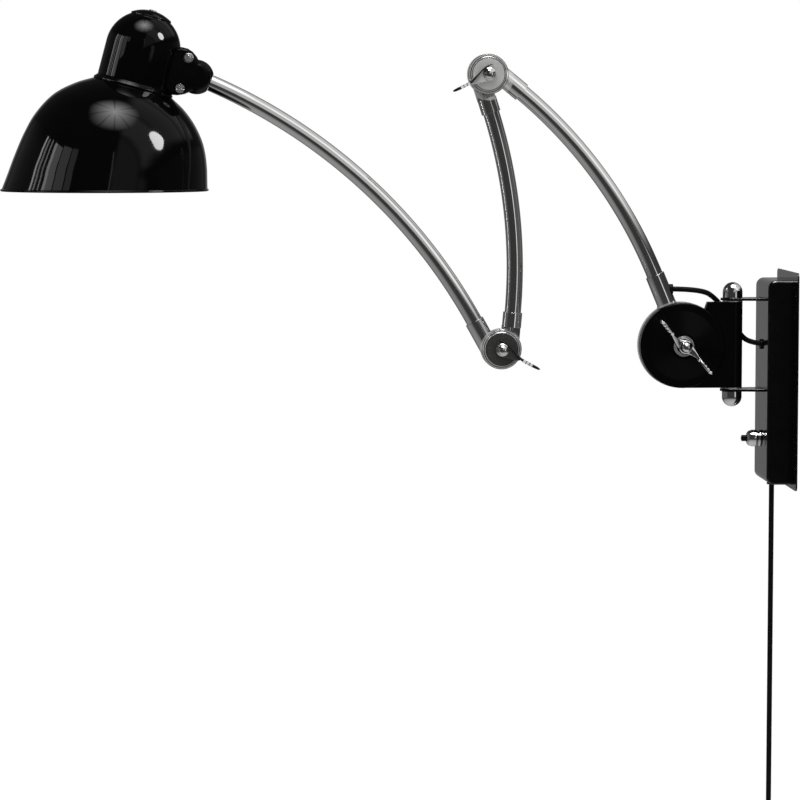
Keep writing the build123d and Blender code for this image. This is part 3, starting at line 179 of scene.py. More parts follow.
def add(tree, kind, inputs=None, **settings):
    node = tree.nodes.new(kind)
    for name, value in settings.items():
        setattr(node, name, value)
    give(tree, node, inputs or {})
    return node


def new_finish(name, base, roughness, metallic=0.0):
    material = bpy.data.materials.new(name)
    material.use_nodes = True
    tree = material.node_tree
    shader = tree.nodes["Principled BSDF"]
    give(tree, shader, {"Base Color": (*base, 1), "Roughness": roughness, "Metallic": metallic})
    return material, tree, shader


def placed(tree, source="Object", centre=(0, 0, 0), stretch=(1, 1, 1)):
    """Coordinates about a centre in millimetres, stretched along each axis."""
    shift = [-c * MM * s for c, s in zip(centre, stretch)]
    where = add(tree, "ShaderNodeTexCoord").outputs[source]
    return add(tree, "ShaderNodeMapping",
               {"Vector": where, "Location": shift, "Scale": stretch}).outputs["Vector"]


def grain(tree, vector, scale, detail=3.0, roughness=0.5):
    return add(tree, "ShaderNodeTexNoise", {"Vector": vector, "Scale": scale, "Detail": detail,
                                            "Roughness": roughness}).outputs["Fac"]


def spread(tree, value, low, high, start=0.3, end=0.7, curve="LINEAR"):
    return add(tree, "ShaderNodeMapRange",
               {"Value": value, "From Min": start, "From Max": end, "To Min": low,
                "To Max": high}, interpolation_type=curve).outputs["Result"]


def sums(tree, operation, first, second=0):
    return add(tree, "ShaderNodeMath", {0: first, 1: second},
               operation=operation).outputs["Value"]


def tint(tree, factor, first, second):
    return add(tree, "ShaderNodeMix", {"Factor": factor, "A": (*first, 1), "B": (*second, 1)},
               data_type="RGBA").outputs["Result"]


def relief(tree, shader, height, strength, depth, edge=0.0):
    """Fine relief of depth in millimetres, over edges softened by a small radius."""
    bump = add(tree, "ShaderNodeBump",
               {"Strength": strength, "Distance": depth * MM, "Height": height})
    if edge:
        soft = add(tree, "ShaderNodeBevel", {"Radius": edge * MM}, samples=4)
        tree.links.new(soft.outputs["Normal"], bump.inputs["Normal"])
    tree.links.new(bump.outputs["Normal"], shader.inputs["Normal"])


def far_from(tree, vector):
    """Length of a vector, in metres."""
    return add(tree, "ShaderNodeVectorMath", {0: vector}, operation="LENGTH").outputs["Value"]


def ripples(tree, distance, pitch):
    """Rings about an axis, a pitch in millimetres apart."""
    return sums(tree, "SINE", sums(tree, "MULTIPLY", distance, 2 * pi / (pitch * MM)))


def mottle(tree, shader, base, other, blotches, roughness, haze, swing=(0.8, 1.25)):
    """Colour that drifts between two tones, and roughness that drifts about its level."""
    give(tree, shader, {
        "Base Color": tint(tree, spread(tree, blotches[0], 0, 1, *blotches[1:]), base, other),
        "Roughness": spread(tree, haze[0], roughness * swing[0], roughness * swing[1], *haze[1:])})


# ---------------------------------------------------------------- finishes
def gloss_enamel():
    base = colours().enamel
    material, tree, shader = new_finish("gloss_enamel", base, 0.08)
    vector = placed(tree)
    dust = spread(tree, grain(tree, vector, 900, 2.0), 0, 1, 0.66, 0.78)
    wipes = grain(tree, placed(tree, stretch=(1, 1, 0.3)), 35, 4.0)
    give(tree, shader, {"Roughness": spread(tree, wipes, 0.03, 0.075),
                        "Base Color": tint(tree, dust, base, (0.006, 0.006, 0.0065)),
                        "Specular IOR Level": dark_gloss})
    relief(tree, shader, grain(tree, vector, 260, 1.0), 0.04, 0.03)
    return material


def white_lining():
    base = colours().lining
    material, tree, shader = new_finish("white_lining", base, 0.28)
    vector = placed(tree)
    clouds = spread(tree, grain(tree, vector, 40), 0, 1)
    give(tree, shader, {"Base Color": tint(tree, clouds, base, (0.76, 0.745, 0.71))})
    relief(tree, shader, grain(tree, vector, 500, 1.0), 0.08, 0.03)
    return material


def painted(name, base, roughness, pit_scale, pit_depth, edge, shine=dark_gloss / 2):
    material, tree, shader = new_finish(name, base, roughness)
    shader.inputs["Specular IOR Level"].default_value = shine
    vector = placed(tree)
    pits = grain(tree, vector, pit_scale, 4.0, 0.6)
    clouds = grain(tree, vector, 45, 4.0)
    mottle(tree, shader, base, [c * 1.6 for c in base], (clouds,), roughness,
           (sums(tree, "ADD", clouds, pits), 0.7, 1.3))
    relief(tree, shader, pits, 0.25, pit_depth, edge)
    return material


def chrome_plate():
    base = colours().chrome
    roughness = 0.05
    material, tree, shader = new_finish("chrome_plate", base, roughness, 1.0)
    vector = placed(tree)
    mottle(tree, shader, base, [c * 0.93 for c in base], (grain(tree, vector, 15),), roughness,
           (grain(tree, vector, 60, 5.0),), (0.7, 1.7))
    relief(tree, shader, grain(tree, vector, 400, 2.0), 0.04, 0.02, 0.3)
    return material


def drawn_tube():
    """Chromed tube: polishing lines run along it, on the tube's own UV map."""
    base = colours().chrome
    material, tree, shader = new_finish("drawn_tube", base, 0.07, 1.0)
    lines = grain(tree, placed(tree, "UV", stretch=(0.6, 90, 1)), 3.0, 6.0, 0.7)
    haze = grain(tree, placed(tree, "UV", stretch=(8, 3, 1)), 2.0, 4.0)
    rough = spread(tree, sums(tree, "ADD", lines, haze), 0.045, 0.13, 0.7, 1.3)
    darker = [c * 0.9 for c in base]
    give(tree, shader, {"Roughness": rough,
                        "Base Color": tint(tree, spread(tree, lines, 0, 1), base, darker)})
    relief(tree, shader, lines, 0.06, 0.01)
    return material


def turned_metal(name, base, roughness, centre, metallic):
    """Metal faced on a lathe: fine rings about the joint's axis."""
    material, tree, shader = new_finish(name, base, roughness, metallic)
    vector = placed(tree, centre=centre)
    distance = far_from(tree, placed(tree, centre=centre, stretch=(1, 0, 1)))
    height = sums(tree, "ADD", ripples(tree, distance, 0.35), grain(tree, vector, 700, 3.0))
    patches = grain(tree, vector, 90, 4.0)
    mottle(tree, shader, base, [c * 0.86 for c in base], (patches,), roughness, (patches,))
    relief(tree, shader, height, 0.35, 0.012, 0.25)
    return material


def eye_metal(name, centre, satin, grooves):
    """Satin face as far out as satin, then polish, with the turned grooves in the face drawn as dark lines of
    painted shade.
    """
    base = colours().chrome
    material, tree, shader = new_finish(name, base, 0.12, 1.0)
    distance = far_from(tree, placed(tree, centre=centre, stretch=(1, 0, 1)))
    zone = (satin * MM, (satin + 1.5) * MM)
    haze = grain(tree, placed(tree, centre=centre), 120, 4.0)
    # painted shade: along each groove the base colour goes nearly black
    dark = 0.0
    for radius, width in grooves:
        off = sums(tree, "ABSOLUTE", sums(tree, "SUBTRACT", distance, radius * MM))
        line = spread(tree, off, 1.0, 0.0, width * 0.5 * MM, width * MM)
        dark = sums(tree, "MAXIMUM", line, dark)
    give(tree, shader, {
        "Metallic": spread(tree, distance, 0.62, 1.0, *zone),
        "Roughness": sums(tree, "ADD", spread(tree, distance, 0.15, 0.045, *zone),
                          spread(tree, haze, 0.0, 0.05)),
        "Base Color": tint(tree, dark, base, [c * 0.08 for c in base])})
    relief(tree, shader, ripples(tree, distance, 0.5), 0.3, 0.003, 0.25)
    return material


def plated_steel(name, base, roughness, metallic=0.6):
    material, tree, shader = new_finish(name, base, roughness, metallic)
    vector = placed(tree)
    flakes = add(tree, "ShaderNodeTexVoronoi", {"Scale": 1400, "Vector": vector})
    mixed = sums(tree, "ADD", flakes.outputs["Distance"], grain(tree, vector, 220, 4.0))
    mottle(tree, shader, base, [c * 0.8 for c in base], (mixed, 0.5, 1.2), roughness,
           (mixed, 0.5, 1.2), (0.7, 1.4))
    relief(tree, shader, mixed, 0.15, 0.02, 0.2)
    return material


def moulded(name, base, roughness, scale=1200, depth=0.02):
    material, tree, shader = new_finish(name, base, roughness)
    shader.inputs["Specular IOR Level"].default_value = dark_gloss / 2
    vector = placed(tree)
    fine = grain(tree, vector, scale, 3.0, 0.6)
    broad = grain(tree, vector, 60, 3.0)
    mottle(tree, shader, base, [min(1.0, c * 1.35 + 0.001) for c in base], (broad,), roughness,
           (sums(tree, "ADD", fine, broad), 0.7, 1.3))
    relief(tree, shader, fine, 0.2, depth, 0.25)
    return material


def frosted_bulb():
    material, tree, shader = new_finish("frosted_bulb", (0.93, 0.93, 0.91), 0.4)
    frost = grain(tree, placed(tree), 1500, 3.0)
    give(tree, shader, {"Roughness": spread(tree, frost, 0.32, 0.5),
                        "Transmission Weight": 0.35, "IOR": 1.5})
    relief(tree, shader, frost, 0.1, 0.02)
    return material


finish_makers = {
    "black_enamel": gloss_enamel,
    "white_lining": white_lining,
    "box_paint": lambda: painted("box_paint", colours().paint, 0.12, 900, 0.006, 0.6, box_gloss),
    "casting_paint": lambda: painted("casting_paint", colours().casting, 0.2, 260, 0.03, 0.5),
    "chrome": chrome_plate,
    "drawn_tube": drawn_tube,
    # satin_steel and dark_steel are one satin steel in two tones: painted light for the upper elbow's pieces,
    # painted shade for the lower's
    "satin_steel": lambda: turned_metal("satin_upper", (0.62, 0.62, 0.61), 0.32, elbow_up, 0.25),
    "dark_steel": lambda: turned_metal("satin_lower", (0.055, 0.055, 0.053), 0.34, elbow_low,
                                       0.3),
    "lever_black": lambda: plated_steel("lever_black", (0.012, 0.012, 0.013), 0.25, 0.2),
    "zinc_steel": lambda: plated_steel("zinc_steel", (0.62, 0.63, 0.65), 0.24),
    "bright_zinc": lambda: plated_steel("bright_zinc", (0.86, 0.86, 0.88), 0.13, 0.9),
    # near-white ribs: a painted highlight standing in for the glint on each rib
    "rib_metal": lambda: plated_steel("rib_metal", (0.92, 0.92, 0.92), 0.2, 0.15),
    "fibre": lambda: moulded("fibre", (0.20, 0.13, 0.09), 0.75, 500, 0.06),
    "black_plastic": lambda: moulded("black_plastic", (0.003, 0.003, 0.0034), 0.22, 1500, 0.01),
    "grey_plastic": lambda: moulded("grey_plastic", (0.52, 0.52, 0.50), 0.42),
    "black_rubber": lambda: moulded("black_rubber", colours().rubber, 0.36, 900, 0.03),
    "brass": lambda: plated_steel("brass", (0.70, 0.53, 0.27), 0.22),
    "frosted_glass": frosted_bulb,
}
made_finishes = {}


def finish(name):
    if name not in made_finishes:
        made_finishes[name] = finish_makers[name]()
    return made_finishes[name]


def dress(*nodes, material=None):
    """CAD nodes keep their shape and get their finish."""
    for node in nodes:
        mesh = frame["nodes"][node].data
        mesh.materials.clear()
        mesh.materials.append(material or finish(slots[node]))


# ---------------------------------------------------------------- mesh helpers
def eased(points, radius, closed=False, arcs=4):
    """Profile with its corners rounded."""
    result = []
    count = len(points)
    for i, point in enumerate(points):
        here = Vector(point)
        if not closed and i in (0, count - 1):
            result.append(tuple(here))
            continue
        before = Vector(points[i - 1]) - here
        after = Vector(points[(i + 1) % count]) - here
        angle = before.angle(after)
        if angle > radians(160):
            result.append(tuple(here))
            continue
        cut = min(radius / tan(angle / 2), 0.45 * before.length, 0.45 * after.length)
        start = here + before.normalized() * cut
        end = here + after.normalized() * cut
        for k in range(arcs + 1):
            t = k / arcs
            result.append(tuple(start * (1 - t) ** 2 + here * 2 * t * (1 - t) + end * t * t))
    return result


def arc(radius, start, end, steps, centre=(0.0, 0.0)):
    angles = [radians(start + (end - start) * k / steps) for k in range(steps + 1)]
    return [(centre[0] + radius * cos(a), centre[1] + radius * sin(a)) for a in angles]


def bridge(bm, first, second, surface=0):
    """Faces between two rings of corners; a ring of one corner is a pole."""
    count = max(len(first), len(second))
    for i in range(count):
        j = (i + 1) % count
        corners = [first[i % len(first)], second[i % len(second)]]
        if len(second) > 1:
            corners.append(second[j])
        if len(first) > 1:
            corners.append(first[j])
        bm.faces.new(corners).material_index = surface


def bridges(bm, rings, surface=0):
    for first, second in zip(rings, rings[1:]):
        bridge(bm, first, second, surface)


def circle(steps, start=0.0):
    """Cosine and sine at even steps round a circle."""
    angles = [2 * pi * (k + start) / steps for k in range(steps)]
    return [(cos(a), sin(a)) for a in angles]


def lathe(bm, profile, place, closed=False, steps=None):
    """Turned piece: profile is (radius, height) in millimetres about place's Z axis."""
    turn = circle(steps or sizes().round_steps)
    rings = []
    for radius, height in profile:
        if radius < 1e-6:
            rings.append([bm.verts.new(place @ Vector((0, 0, height * MM)))])
        else:
            rings.append([bm.verts.new(place @ (Vector((radius * c, radius * s, height)) * MM))
                          for c, s in turn])
    bridges(bm, rings)
    if closed:
        bridge(bm, rings[-1], rings[0])


def skin(bm, rings):
    """Closed skin through rings of equal count, with flat ends."""
    rows = [[bm.verts.new(Vector(p) * MM) for p in ring] for ring in rings]
    bridges(bm, rows)
    bm.faces.new(rows[0])
    bm.faces.new(list(reversed(rows[-1])))


def frame_at(origin, x_axis, z_axis):
    """Place with its origin in millimetres and its X and Z axes."""
    z = Vector(z_axis).normalized()
    x = Vector(x_axis).normalized()
    y = z.cross(x)
    place = Matrix((x, y, z)).transposed().to_4x4()
    place.translation = Vector(origin) * MM
    return place


def facing(point):
    """Place on a joint's axis: heights run towards the viewer's side."""
    return frame_at((point[0], 0, point[2]), (1, 0, 0), (0, -1, 0))


head_place = frame_at(cap_at, (cos(head_tilt), 0, -sin(head_tilt)),
                      (sin(head_tilt), 0, cos(head_tilt)))


def in_scene(name, data):
    obj = bpy.data.objects.new(name, data)
    bpy.context.scene.collection.objects.link(obj)
    return obj


def mesh_of(name, bm):
    """Closed mesh that faces outwards, smooth but for its creases."""
    bmesh.ops.recalc_face_normals(bm, faces=bm.faces)
    mesh = bpy.data.meshes.new(name)
    bm.to_mesh(mesh)
    bm.free()
    mesh.shade_smooth()
    mesh.set_sharp_from_angle(angle=crease)
    return mesh


def settle(obj, body, nodes=()):
    """A made piece rides on its body, in place of the CAD nodes that it shows."""
    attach(obj, body)
    if nodes:
        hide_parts(*nodes)
    return obj


def piece(name, bm, body, slot, nodes=(), finishes=()):
    """A made piece in its slot's own finish, or in the finishes named."""
    mesh = mesh_of(name, bm)
    for material in finishes or (slot,):
        mesh.materials.append(finish(material))
    return settle(in_scene(name, mesh), body, nodes)


def evaluated_mesh(obj):
    bpy.context.view_layer.update()
    graph = bpy.context.evaluated_depsgraph_get()
    return bpy.data.meshes.new_from_object(obj.evaluated_get(graph))


def plain_mesh(name, obj):
    """The evaluated shape as a plain mesh object, in place of the first one."""
    mesh = evaluated_mesh(obj)
    mesh.name = name
    bpy.data.objects.remove(obj)
    return in_scene(name, mesh)


# ---------------------------------------------------------------- node trees for what repeats
def tree_with(name, **inputs):
    tree = bpy.data.node_groups.new(name, "GeometryNodeTree")
    for label, kind in inputs.items():
        tree.interface.new_socket(label, in_out="INPUT", socket_type="NodeSocket" + kind)
    tree.interface.new_socket("Geometry", in_out="OUTPUT", socket_type="NodeSocketGeometry")
    return tree, tree.nodes.new("NodeGroupInput").outputs


def close_tree(tree, given, points, instance, turn):
    """Every tree ends in copies on points, as real geometry with its finish."""
    copies = add(tree, "GeometryNodeInstanceOnPoints",
                 {"Points": points, "Instance": instance, "Rotation": turn})
    real = add(tree, "GeometryNodeRealizeInstances", {"Geometry": copies.outputs["Instances"]})
    coat = add(tree, "GeometryNodeSetMaterial",
               {"Geometry": real.outputs["Geometry"], "Material": given["Finish"]})
    add(tree, "NodeGroupOutput", {"Geometry": coat.outputs["Geometry"]})
    return tree


def rib_tree():
    """Round bars side by side on a line, all along one direction."""
    tree, given = tree_with("grip_ribs", Start="Vector", End="Vector", Count="Int",
                            Radius="Float", Length="Float", Turn="Vector", Finish="Material")
    line = add(tree, "GeometryNodeMeshLine",
               {"Count": given["Count"], "Start Location": given["Start"],
                "Offset": given["End"]}, mode="END_POINTS")
    bar = add(tree, "GeometryNodeMeshCylinder",
              {"Vertices": 12, "Radius": given["Radius"], "Depth": given["Length"]})
    return close_tree(tree, given, line.outputs["Mesh"], bar.outputs["Mesh"], given["Turn"])


def tooth_tree():
    """Twisted teeth round a ring, as on a lock washer."""
    tree, given = tree_with("lock_teeth", Count="Int", Ring="Float", Tooth="Float",
                            Twist="Float", Finish="Material")
    ring = add(tree, "GeometryNodeMeshCircle",
               {"Vertices": given["Count"], "Radius": given["Ring"]})
    stretch = 2.2
    length = sums(tree, "MULTIPLY", given["Tooth"], stretch)
    block = add(tree, "ShaderNodeCombineXYZ",
                {"X": length, "Y": given["Tooth"], "Z": given["Tooth"]})
    tooth = add(tree, "GeometryNodeMeshCube", {"Size": block.outputs["Vector"]})
    number = add(tree, "GeometryNodeInputIndex").outputs["Index"]
    share = sums(tree, "DIVIDE", number, given["Count"])
    turn = add(tree, "ShaderNodeCombineXYZ",
               {"X": given["Twist"], "Z": sums(tree, "MULTIPLY", share, 2 * pi)})
    return close_tree(tree, given, ring.outputs["Mesh"], tooth.outputs["Mesh"],
                      turn.outputs["Vector"])


def copies_tree():
    """One fitting repeated on every corner of the mesh that carries the tree."""
    tree, given = tree_with("fittings", Places="Geometry", Fitting="Object", Finish="Material")
    fitting = add(tree, "GeometryNodeObjectInfo",
                  {"Object": given["Fitting"], "As Instance": True})
    turn = add(tree, "GeometryNodeInputNamedAttribute", {"Name": "turn"},
               data_type="FLOAT_VECTOR")
    return close_tree(tree, given, given["Places"], fitting.outputs["Geometry"],
                      turn.outputs["Attribute"])


made_trees = {}


def run_tree(name, maker, carrier, values):
    """Runs a tree on a carrier mesh and returns its result as a plain mesh object."""
    tree = made_trees.get(maker) or maker()
    made_trees[maker] = tree
    modifier = carrier.modifiers.new(name, "NODES")
    modifier.node_group = tree
    for item in tree.interface.items_tree:
        if item.in_out == "INPUT" and item.name in values:
            modifier[item.identifier] = values[item.name]
    return plain_mesh(name, carrier)


def carrier_mesh(name, points=(), turns=()):
    mesh = bpy.data.meshes.new(name)
    mesh.from_pydata([tuple(Vector(p) * MM) for p in points], [], [])
    if turns:
        attribute = mesh.attributes.new("turn", "FLOAT_VECTOR", "POINT")
        attribute.data.foreach_set("vector", [v for turn in turns for v in turn])
    return in_scene(name, mesh)


def fittings(name, bm, places, turns, material, body, nodes=()):
    """Copies of one small fitting at several places."""
    one = in_scene(name + "_one", mesh_of(name + "_one", bm))
    carrier = carrier_mesh(name + "_places", places, turns)
    made = run_tree(name, copies_tree, carrier, {"Fitting": one, "Finish": material})
    bpy.data.objects.remove(one)
    return settle(made, body, nodes)


def rib_row(name, start, end, count, radius, body):
    """Grip ribs through a blade, side by side from start to end, near-white as a painted highlight."""
    length = 9.4
    values = {"Start": tuple(Vector(start) * MM), "End": tuple(Vector(end) * MM),
              "Count": count, "Radius": radius * MM, "Length": length * MM,
              "Turn": (pi / 2, 0, 0), "Finish": finish("rib_metal")}
    made = run_tree(name, rib_tree, carrier_mesh(name + "_line"), values)
    made.data.shade_smooth()
    made.data.set_sharp_from_angle(angle=rib_crease)
    return settle(made, body)


# ---------------------------------------------------------------- cables
def in_metres(points):
    return [tuple(round(v * MM, 9) for v in point) for point in points]


def route_curve(name, route, radius):
    """A cable's centre line: a smooth spline steered by the route's points."""
    curve = bpy.data.curves.new(name, "CURVE")
    curve.dimensions = "3D"
    spline = curve.splines.new("NURBS")
    spline.points.add(len(route) - 1)
    for point, place in zip(spline.points, route):
        point.co = (*place, 1)
    spline.order_u = 3
    spline.use_endpoint_u = True
    spline.resolution_u = 10
    curve.bevel_depth = radius
    curve.bevel_resolution = 5
    curve.use_fill_caps = True
    curve.materials.append(finish("black_rubber"))
    return in_scene(name, curve)


def centre_line(obj):
    """Points on a cable's spline, read while it has no thickness."""
    depth = obj.data.bevel_depth
    obj.data.bevel_depth = 0
    mesh = evaluated_mesh(obj)
    points = [v.co.copy() for v in mesh.vertices]
    bpy.data.meshes.remove(mesh)
    obj.data.bevel_depth = depth
    return points


def run_length(points):
    return sum((b - a).length for a, b in zip(points, points[1:]))


class LAMP_OT_mains_lead(bpy.types.Operator):
    """Mains cable from the switch, out of the box, down to its coil and plug"""

    bl_idname = "lamp.mains_lead"
    bl_label = "Mains lead"

    def execute(self, context):
        radius = sizes().cable_radius
        route = [(cord_x, 0.0, -70.5), (cord_x, 0.0, -424.6), (cord_x, 0.0, -484.0),
                 (cord_x, coil_out, -525.0), (cord_x, coil_out, -569.5)]
        per_turn = 16
        for k in range(int(per_turn * coil_turns * 2) + 1):
            angle = 2 * pi * k / per_turn
            wound = min(angle, 4 * pi * coil_turns - angle)
            r = coil_out - coil_pitch * wound / (2 * pi)
            climb = min(max((angle - 2 * pi * coil_turns + pi / 2) / pi, 0.0), 1.0)
            climb = climb * climb * (3 - 2 * climb)
            route.append((cord_x - coil_pitch * climb, r * cos(angle), coil_z - r * sin(angle)))
        tail_x = cord_x - coil_pitch
        route += [(tail_x, coil_out, z) for z in (-580.5, plug_top, -630.0)]
        route = in_metres(route)
        lead = route_curve("mains_lead", route, radius)
        length = run_length(centre_line(lead))
        settle(lead, "wall_mount", ("mains_cord", "mains_coil", "mains_tail"))
        plug_relief = self.strain_relief(radius / MM - 0.2, (tail_x, coil_out, plug_top + 5.0))
        along = ("coil_tie", "plug_body", "plug_pins", "cord_bush")
        dress(*along)
        return {"FINISHED"}

    def strain_relief(self, bore, foot):
        """Ribbed sleeve over the cable's end, slimmer from rib to rib."""
        ribs = 8
        pitch = 3.0
        widest = 4.5
        outline = [(bore, 0.0), (widest, 0.0)]
        for k in range(ribs):
            outer = widest - 0.13 * k
            height = 2.0 + pitch * k
            outline += [(outer, height), (outer - 0.7, height + 0.3),
                        (outer - 0.7, height + 1.3), (outer - 0.1, height + 1.6)]
        outline += [(3.3, 26.6), (bore, 27.0)]
        bm = bmesh.new()
        lathe(bm, outline, frame_at(foot, (1, 0, 0), (0, 0, 1)), closed=True, steps=48)
        return piece("plug_strain_relief", bm, "wall_mount", "black_rubber")


class LAMP_OT_jumper(bpy.types.Operator):
    """Cable from the box, past the barrel, into the lower arm's collar"""

    bl_idname = "lamp.jumper"
    bl_label = "Jumper cable"

    def execute(self, context):
        radius = sizes().cable_radius
        split = (-59.0, 14.5, 60.0)
        lower = in_metres([(-15.0, 0.0, gland_z), (-40.0, 0.0, gland_z), (-51.5, 14.5, 48.5),
                           split])
        upper = in_metres([split, (-66.5, 14.5, 71.5), (-74.0, 9.5, 82.0),
                           (-91.0, 0.0, grommet_z), (-127.3, 0.0, grommet_z)])
        runs = (("lower", lower, "wall_mount", "swivel", lower[0], lower[-1]),
                ("upper", upper, "swivel", "arm_lower", upper[1], upper[-2]))
        for half, route, near, far, start, end in runs:
            line = route_curve(f"jumper_cable_{half}_line", route, radius)
            path = centre_line(line)
            cable = plain_mesh(f"jumper_cable_{half}", line)
            cable.data.shade_smooth()
            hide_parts(f"jumper_{half}")
            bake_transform(cable)
        dress("cable_gland", "cable_grommet")
        return {"FINISHED"}


# ---------------------------------------------------------------- head
shade_stations = [
    # (dx, dz) of each circle's centre from the cap centre, its radius and its tilt
    (neck_h * sin(head_tilt), neck_h * cos(head_tilt), 41.0, 15.0),
    (-14.1, -48.4, 57.0, 14.0),
    (-20.0, -61.4, 73.3, 12.0),
    (-25.4, -79.6, 86.2, 9.2),
    (-29.2, -95.6, 93.0, 6.8),
    (-33.6, -115.6, 98.8, 4.0),
    (-37.0, -130.8, 102.3, 2.0),
    (-40.3, -144.6, 105.7, 0.0),
]


def through(stations, per_span):
    """Smooth run through stations, each a tuple of numbers."""
    rows = [Vector(s) for s in stations]
    spans = [max((b - a).length, 1e-6) ** 0.5 for a, b in zip(rows, rows[1:])]
    result = []
    for i in range(len(rows) - 1):
        p1 = rows[i]
        p2 = rows[i + 1]
        d1 = spans[i]
        d0 = spans[i - 1] if i else d1
        d2 = spans[i + 1] if i + 2 < len(rows) else d1
        p0 = rows[i - 1] if i else p1 * 2 - p2
        p3 = rows[i + 2] if i + 2 < len(rows) else p2 * 2 - p1
        m1 = ((p1 - p0) / d0 - (p2 - p0) / (d0 + d1) + (p2 - p1) / d1) * d1
        m2 = ((p2 - p1) / d1 - (p3 - p1) / (d1 + d2) + (p3 - p2) / d2) * d1
        for k in range(per_span):
            t = k / per_span
            h1 = 2 * t**3 - 3 * t * t + 1
            h2 = t**3 - 2 * t * t + t
            h3 = 3 * t * t - 2 * t**3
            h4 = t**3 - t * t
            result.append(p1 * h1 + m1 * h2 + p2 * h3 + m2 * h4)
    result.append(rows[-1])
    return result


class LAMP_OT_shade(bpy.types.Operator):
    """Spun shade, black outside and white inside, with its rolled rim"""

    bl_idname = "lamp.shade"
    bl_label = "Shade"

    def execute(self, context):
        steps = 192
        sheet = sizes().shade_sheet / MM
        stations = through(shade_stations, 9)
        neck = stations[0]
        flat = [Vector((neck[0], neck[1], r, neck[3])) for r in (neck_bore, 30.0, 38.0)]
        rows = []
        for dx, dz, radius, tilt in flat + stations:
            s = sin(radians(tilt))
            c = cos(radians(tilt))
            centre = cap_at + Vector((dx, 0, dz))
            rows.append([centre + Vector((c * x, y, -s * x)) * radius for x, y in circle(steps)])
        bm = bmesh.new()
        outer = [[bm.verts.new(p * MM) for p in ring] for ring in rows]
        inner = []
        for i, ring in enumerate(rows):
            back = rows[max(i - 1, 0)]
            ahead = rows[min(i + 1, len(rows) - 1)]
            row = []
            for k, point in enumerate(ring):
                across = ring[(k + 1) % steps] - ring[k - 1]
                normal = across.cross(ahead[k] - back[k]).normalized()
                row.append(bm.verts.new((point + normal * sheet) * MM))
            inner.append(row)
        bridges(bm, outer)
        bridges(bm, inner, 1)
        bridge(bm, outer[-1], inner[-1])
        bridge(bm, outer[0], inner[0], 1)
        mouth_x, mouth_z = shade_stations[-1][:2]
        rim = frame_at(cap_at + Vector((mouth_x, 0, mouth_z)), (1, 0, 0), (0, 0, 1))
        bead = arc(sizes().rim_bead / MM, 0, 345, 23, (sizes().rim_radius / MM, 0.0))
        lathe(bm, bead, rim, closed=True, steps=steps)
        piece("shade_shell", bm, "head", "black_enamel", ("shade",),
              ("black_enamel", "white_lining"))
        return {"FINISHED"}


class LAMP_OT_cap(bpy.types.Operator):
    """Cap with its raised pad, the flange ring under it and the screw on top"""

    bl_idname = "lamp.cap"
    bl_label = "Cap"

    def execute(self, context):
        outer = sizes().cap_radius / MM
        inside = outer - cap_sheet
        foot = -36.0
        pad = 21.0
        crown = 40.0
        seat = 4.6
        boss = 8.0
        a_pad = degrees(acos(pad / outer))
        b_pad = degrees(acos(pad / crown))
        b_seat = degrees(acos(seat / crown))
        profile = [(outer, foot)] + arc(outer, 0, a_pad, 18) + arc(crown, b_pad, b_seat, 16)
        profile += [(seat, 38.4), (2.05, 38.4), (2.05, 35.0), (boss, 35.0)]
        profile += arc(inside, degrees(acos(boss / inside)), 0, 24) + [(inside, foot)]
        fit = inside - 0.05
        ring = [(neck_bore, -38.6), (35.8, -38.6), (35.8, -33.0), (fit, -33.0), (fit, foot),
                (outer, foot), (41.7, -39.4), (41.7, neck_h), (neck_bore, neck_h)]
        for name, outline, corner, node in (("cap_shell", profile, 0.7, "cap"),
                                            ("flange_ring", ring, 0.45, "cap_flange_ring")):
            bm = bmesh.new()
            lathe(bm, eased(outline, corner, closed=True), head_place, closed=True)
            piece(name, bm, "head", "black_enamel", (node,))
        dress("cap_screw")
        return {"FINISHED"}


class LAMP_OT_bulb(bpy.types.Operator):
    """Lampholder, shade ring and frosted bulb with its screwed base"""

    bl_idname = "lamp.bulb"
    bl_label = "Bulb and holder"

    def execute(self, context):
        dress("bulb_glass", "lampholder", "shade_ring", "head_lead")
        crest = 13.25
        root = 12.3
        pitch = 3.63
        threads = 6
        profile = [(0, -22.0), (4.2, -22.4), (10.8, -24.4)]
        height = -26.0
        for _ in range(threads):
            profile += [(crest, height), (crest, height - 0.4 * pitch),
                        (root, height - 0.7 * pitch)]
            height -= pitch
        profile += [(13.1, height), (13.1, -50.0), (0, -50.0)]
        bm = bmesh.new()
        lathe(bm, eased(profile, 0.8), head_place, steps=96)
        piece("bulb_screw_base", bm, "head", "brass", ("bulb_base",))
        return {"FINISHED"}


# ---------------------------------------------------------------- knuckle
def hexagon_nut(bm, across, height, hole):
    """Hexagon nut on its washer, standing on Z = 0."""
    upright = Matrix.Identity(4)
    washer = eased([(hole, 0), (5.3, 0), (5.3, 0.7), (hole, 0.7)], 0.15, closed=True)
    lathe(bm, washer, upright, closed=True, steps=64)
    rings = []
    for z, share in ((0.7, 0.97), (1.0, 1.0), (height + 0.25, 1.0), (height + 0.7, 0.9)):
        r = across * share
        rings.append([bm.verts.new(Vector((r * c, r * s, z)) * MM) for c, s in circle(6)])
    bridges(bm, rings)
    bm.faces.new(rings[0])
    bm.faces.new(rings[-1])
    stud = eased([(0, height), (2.35, height), (2.35, height + 1.3), (0, height + 1.3)], 0.3)
    lathe(bm, stud, upright, steps=48)


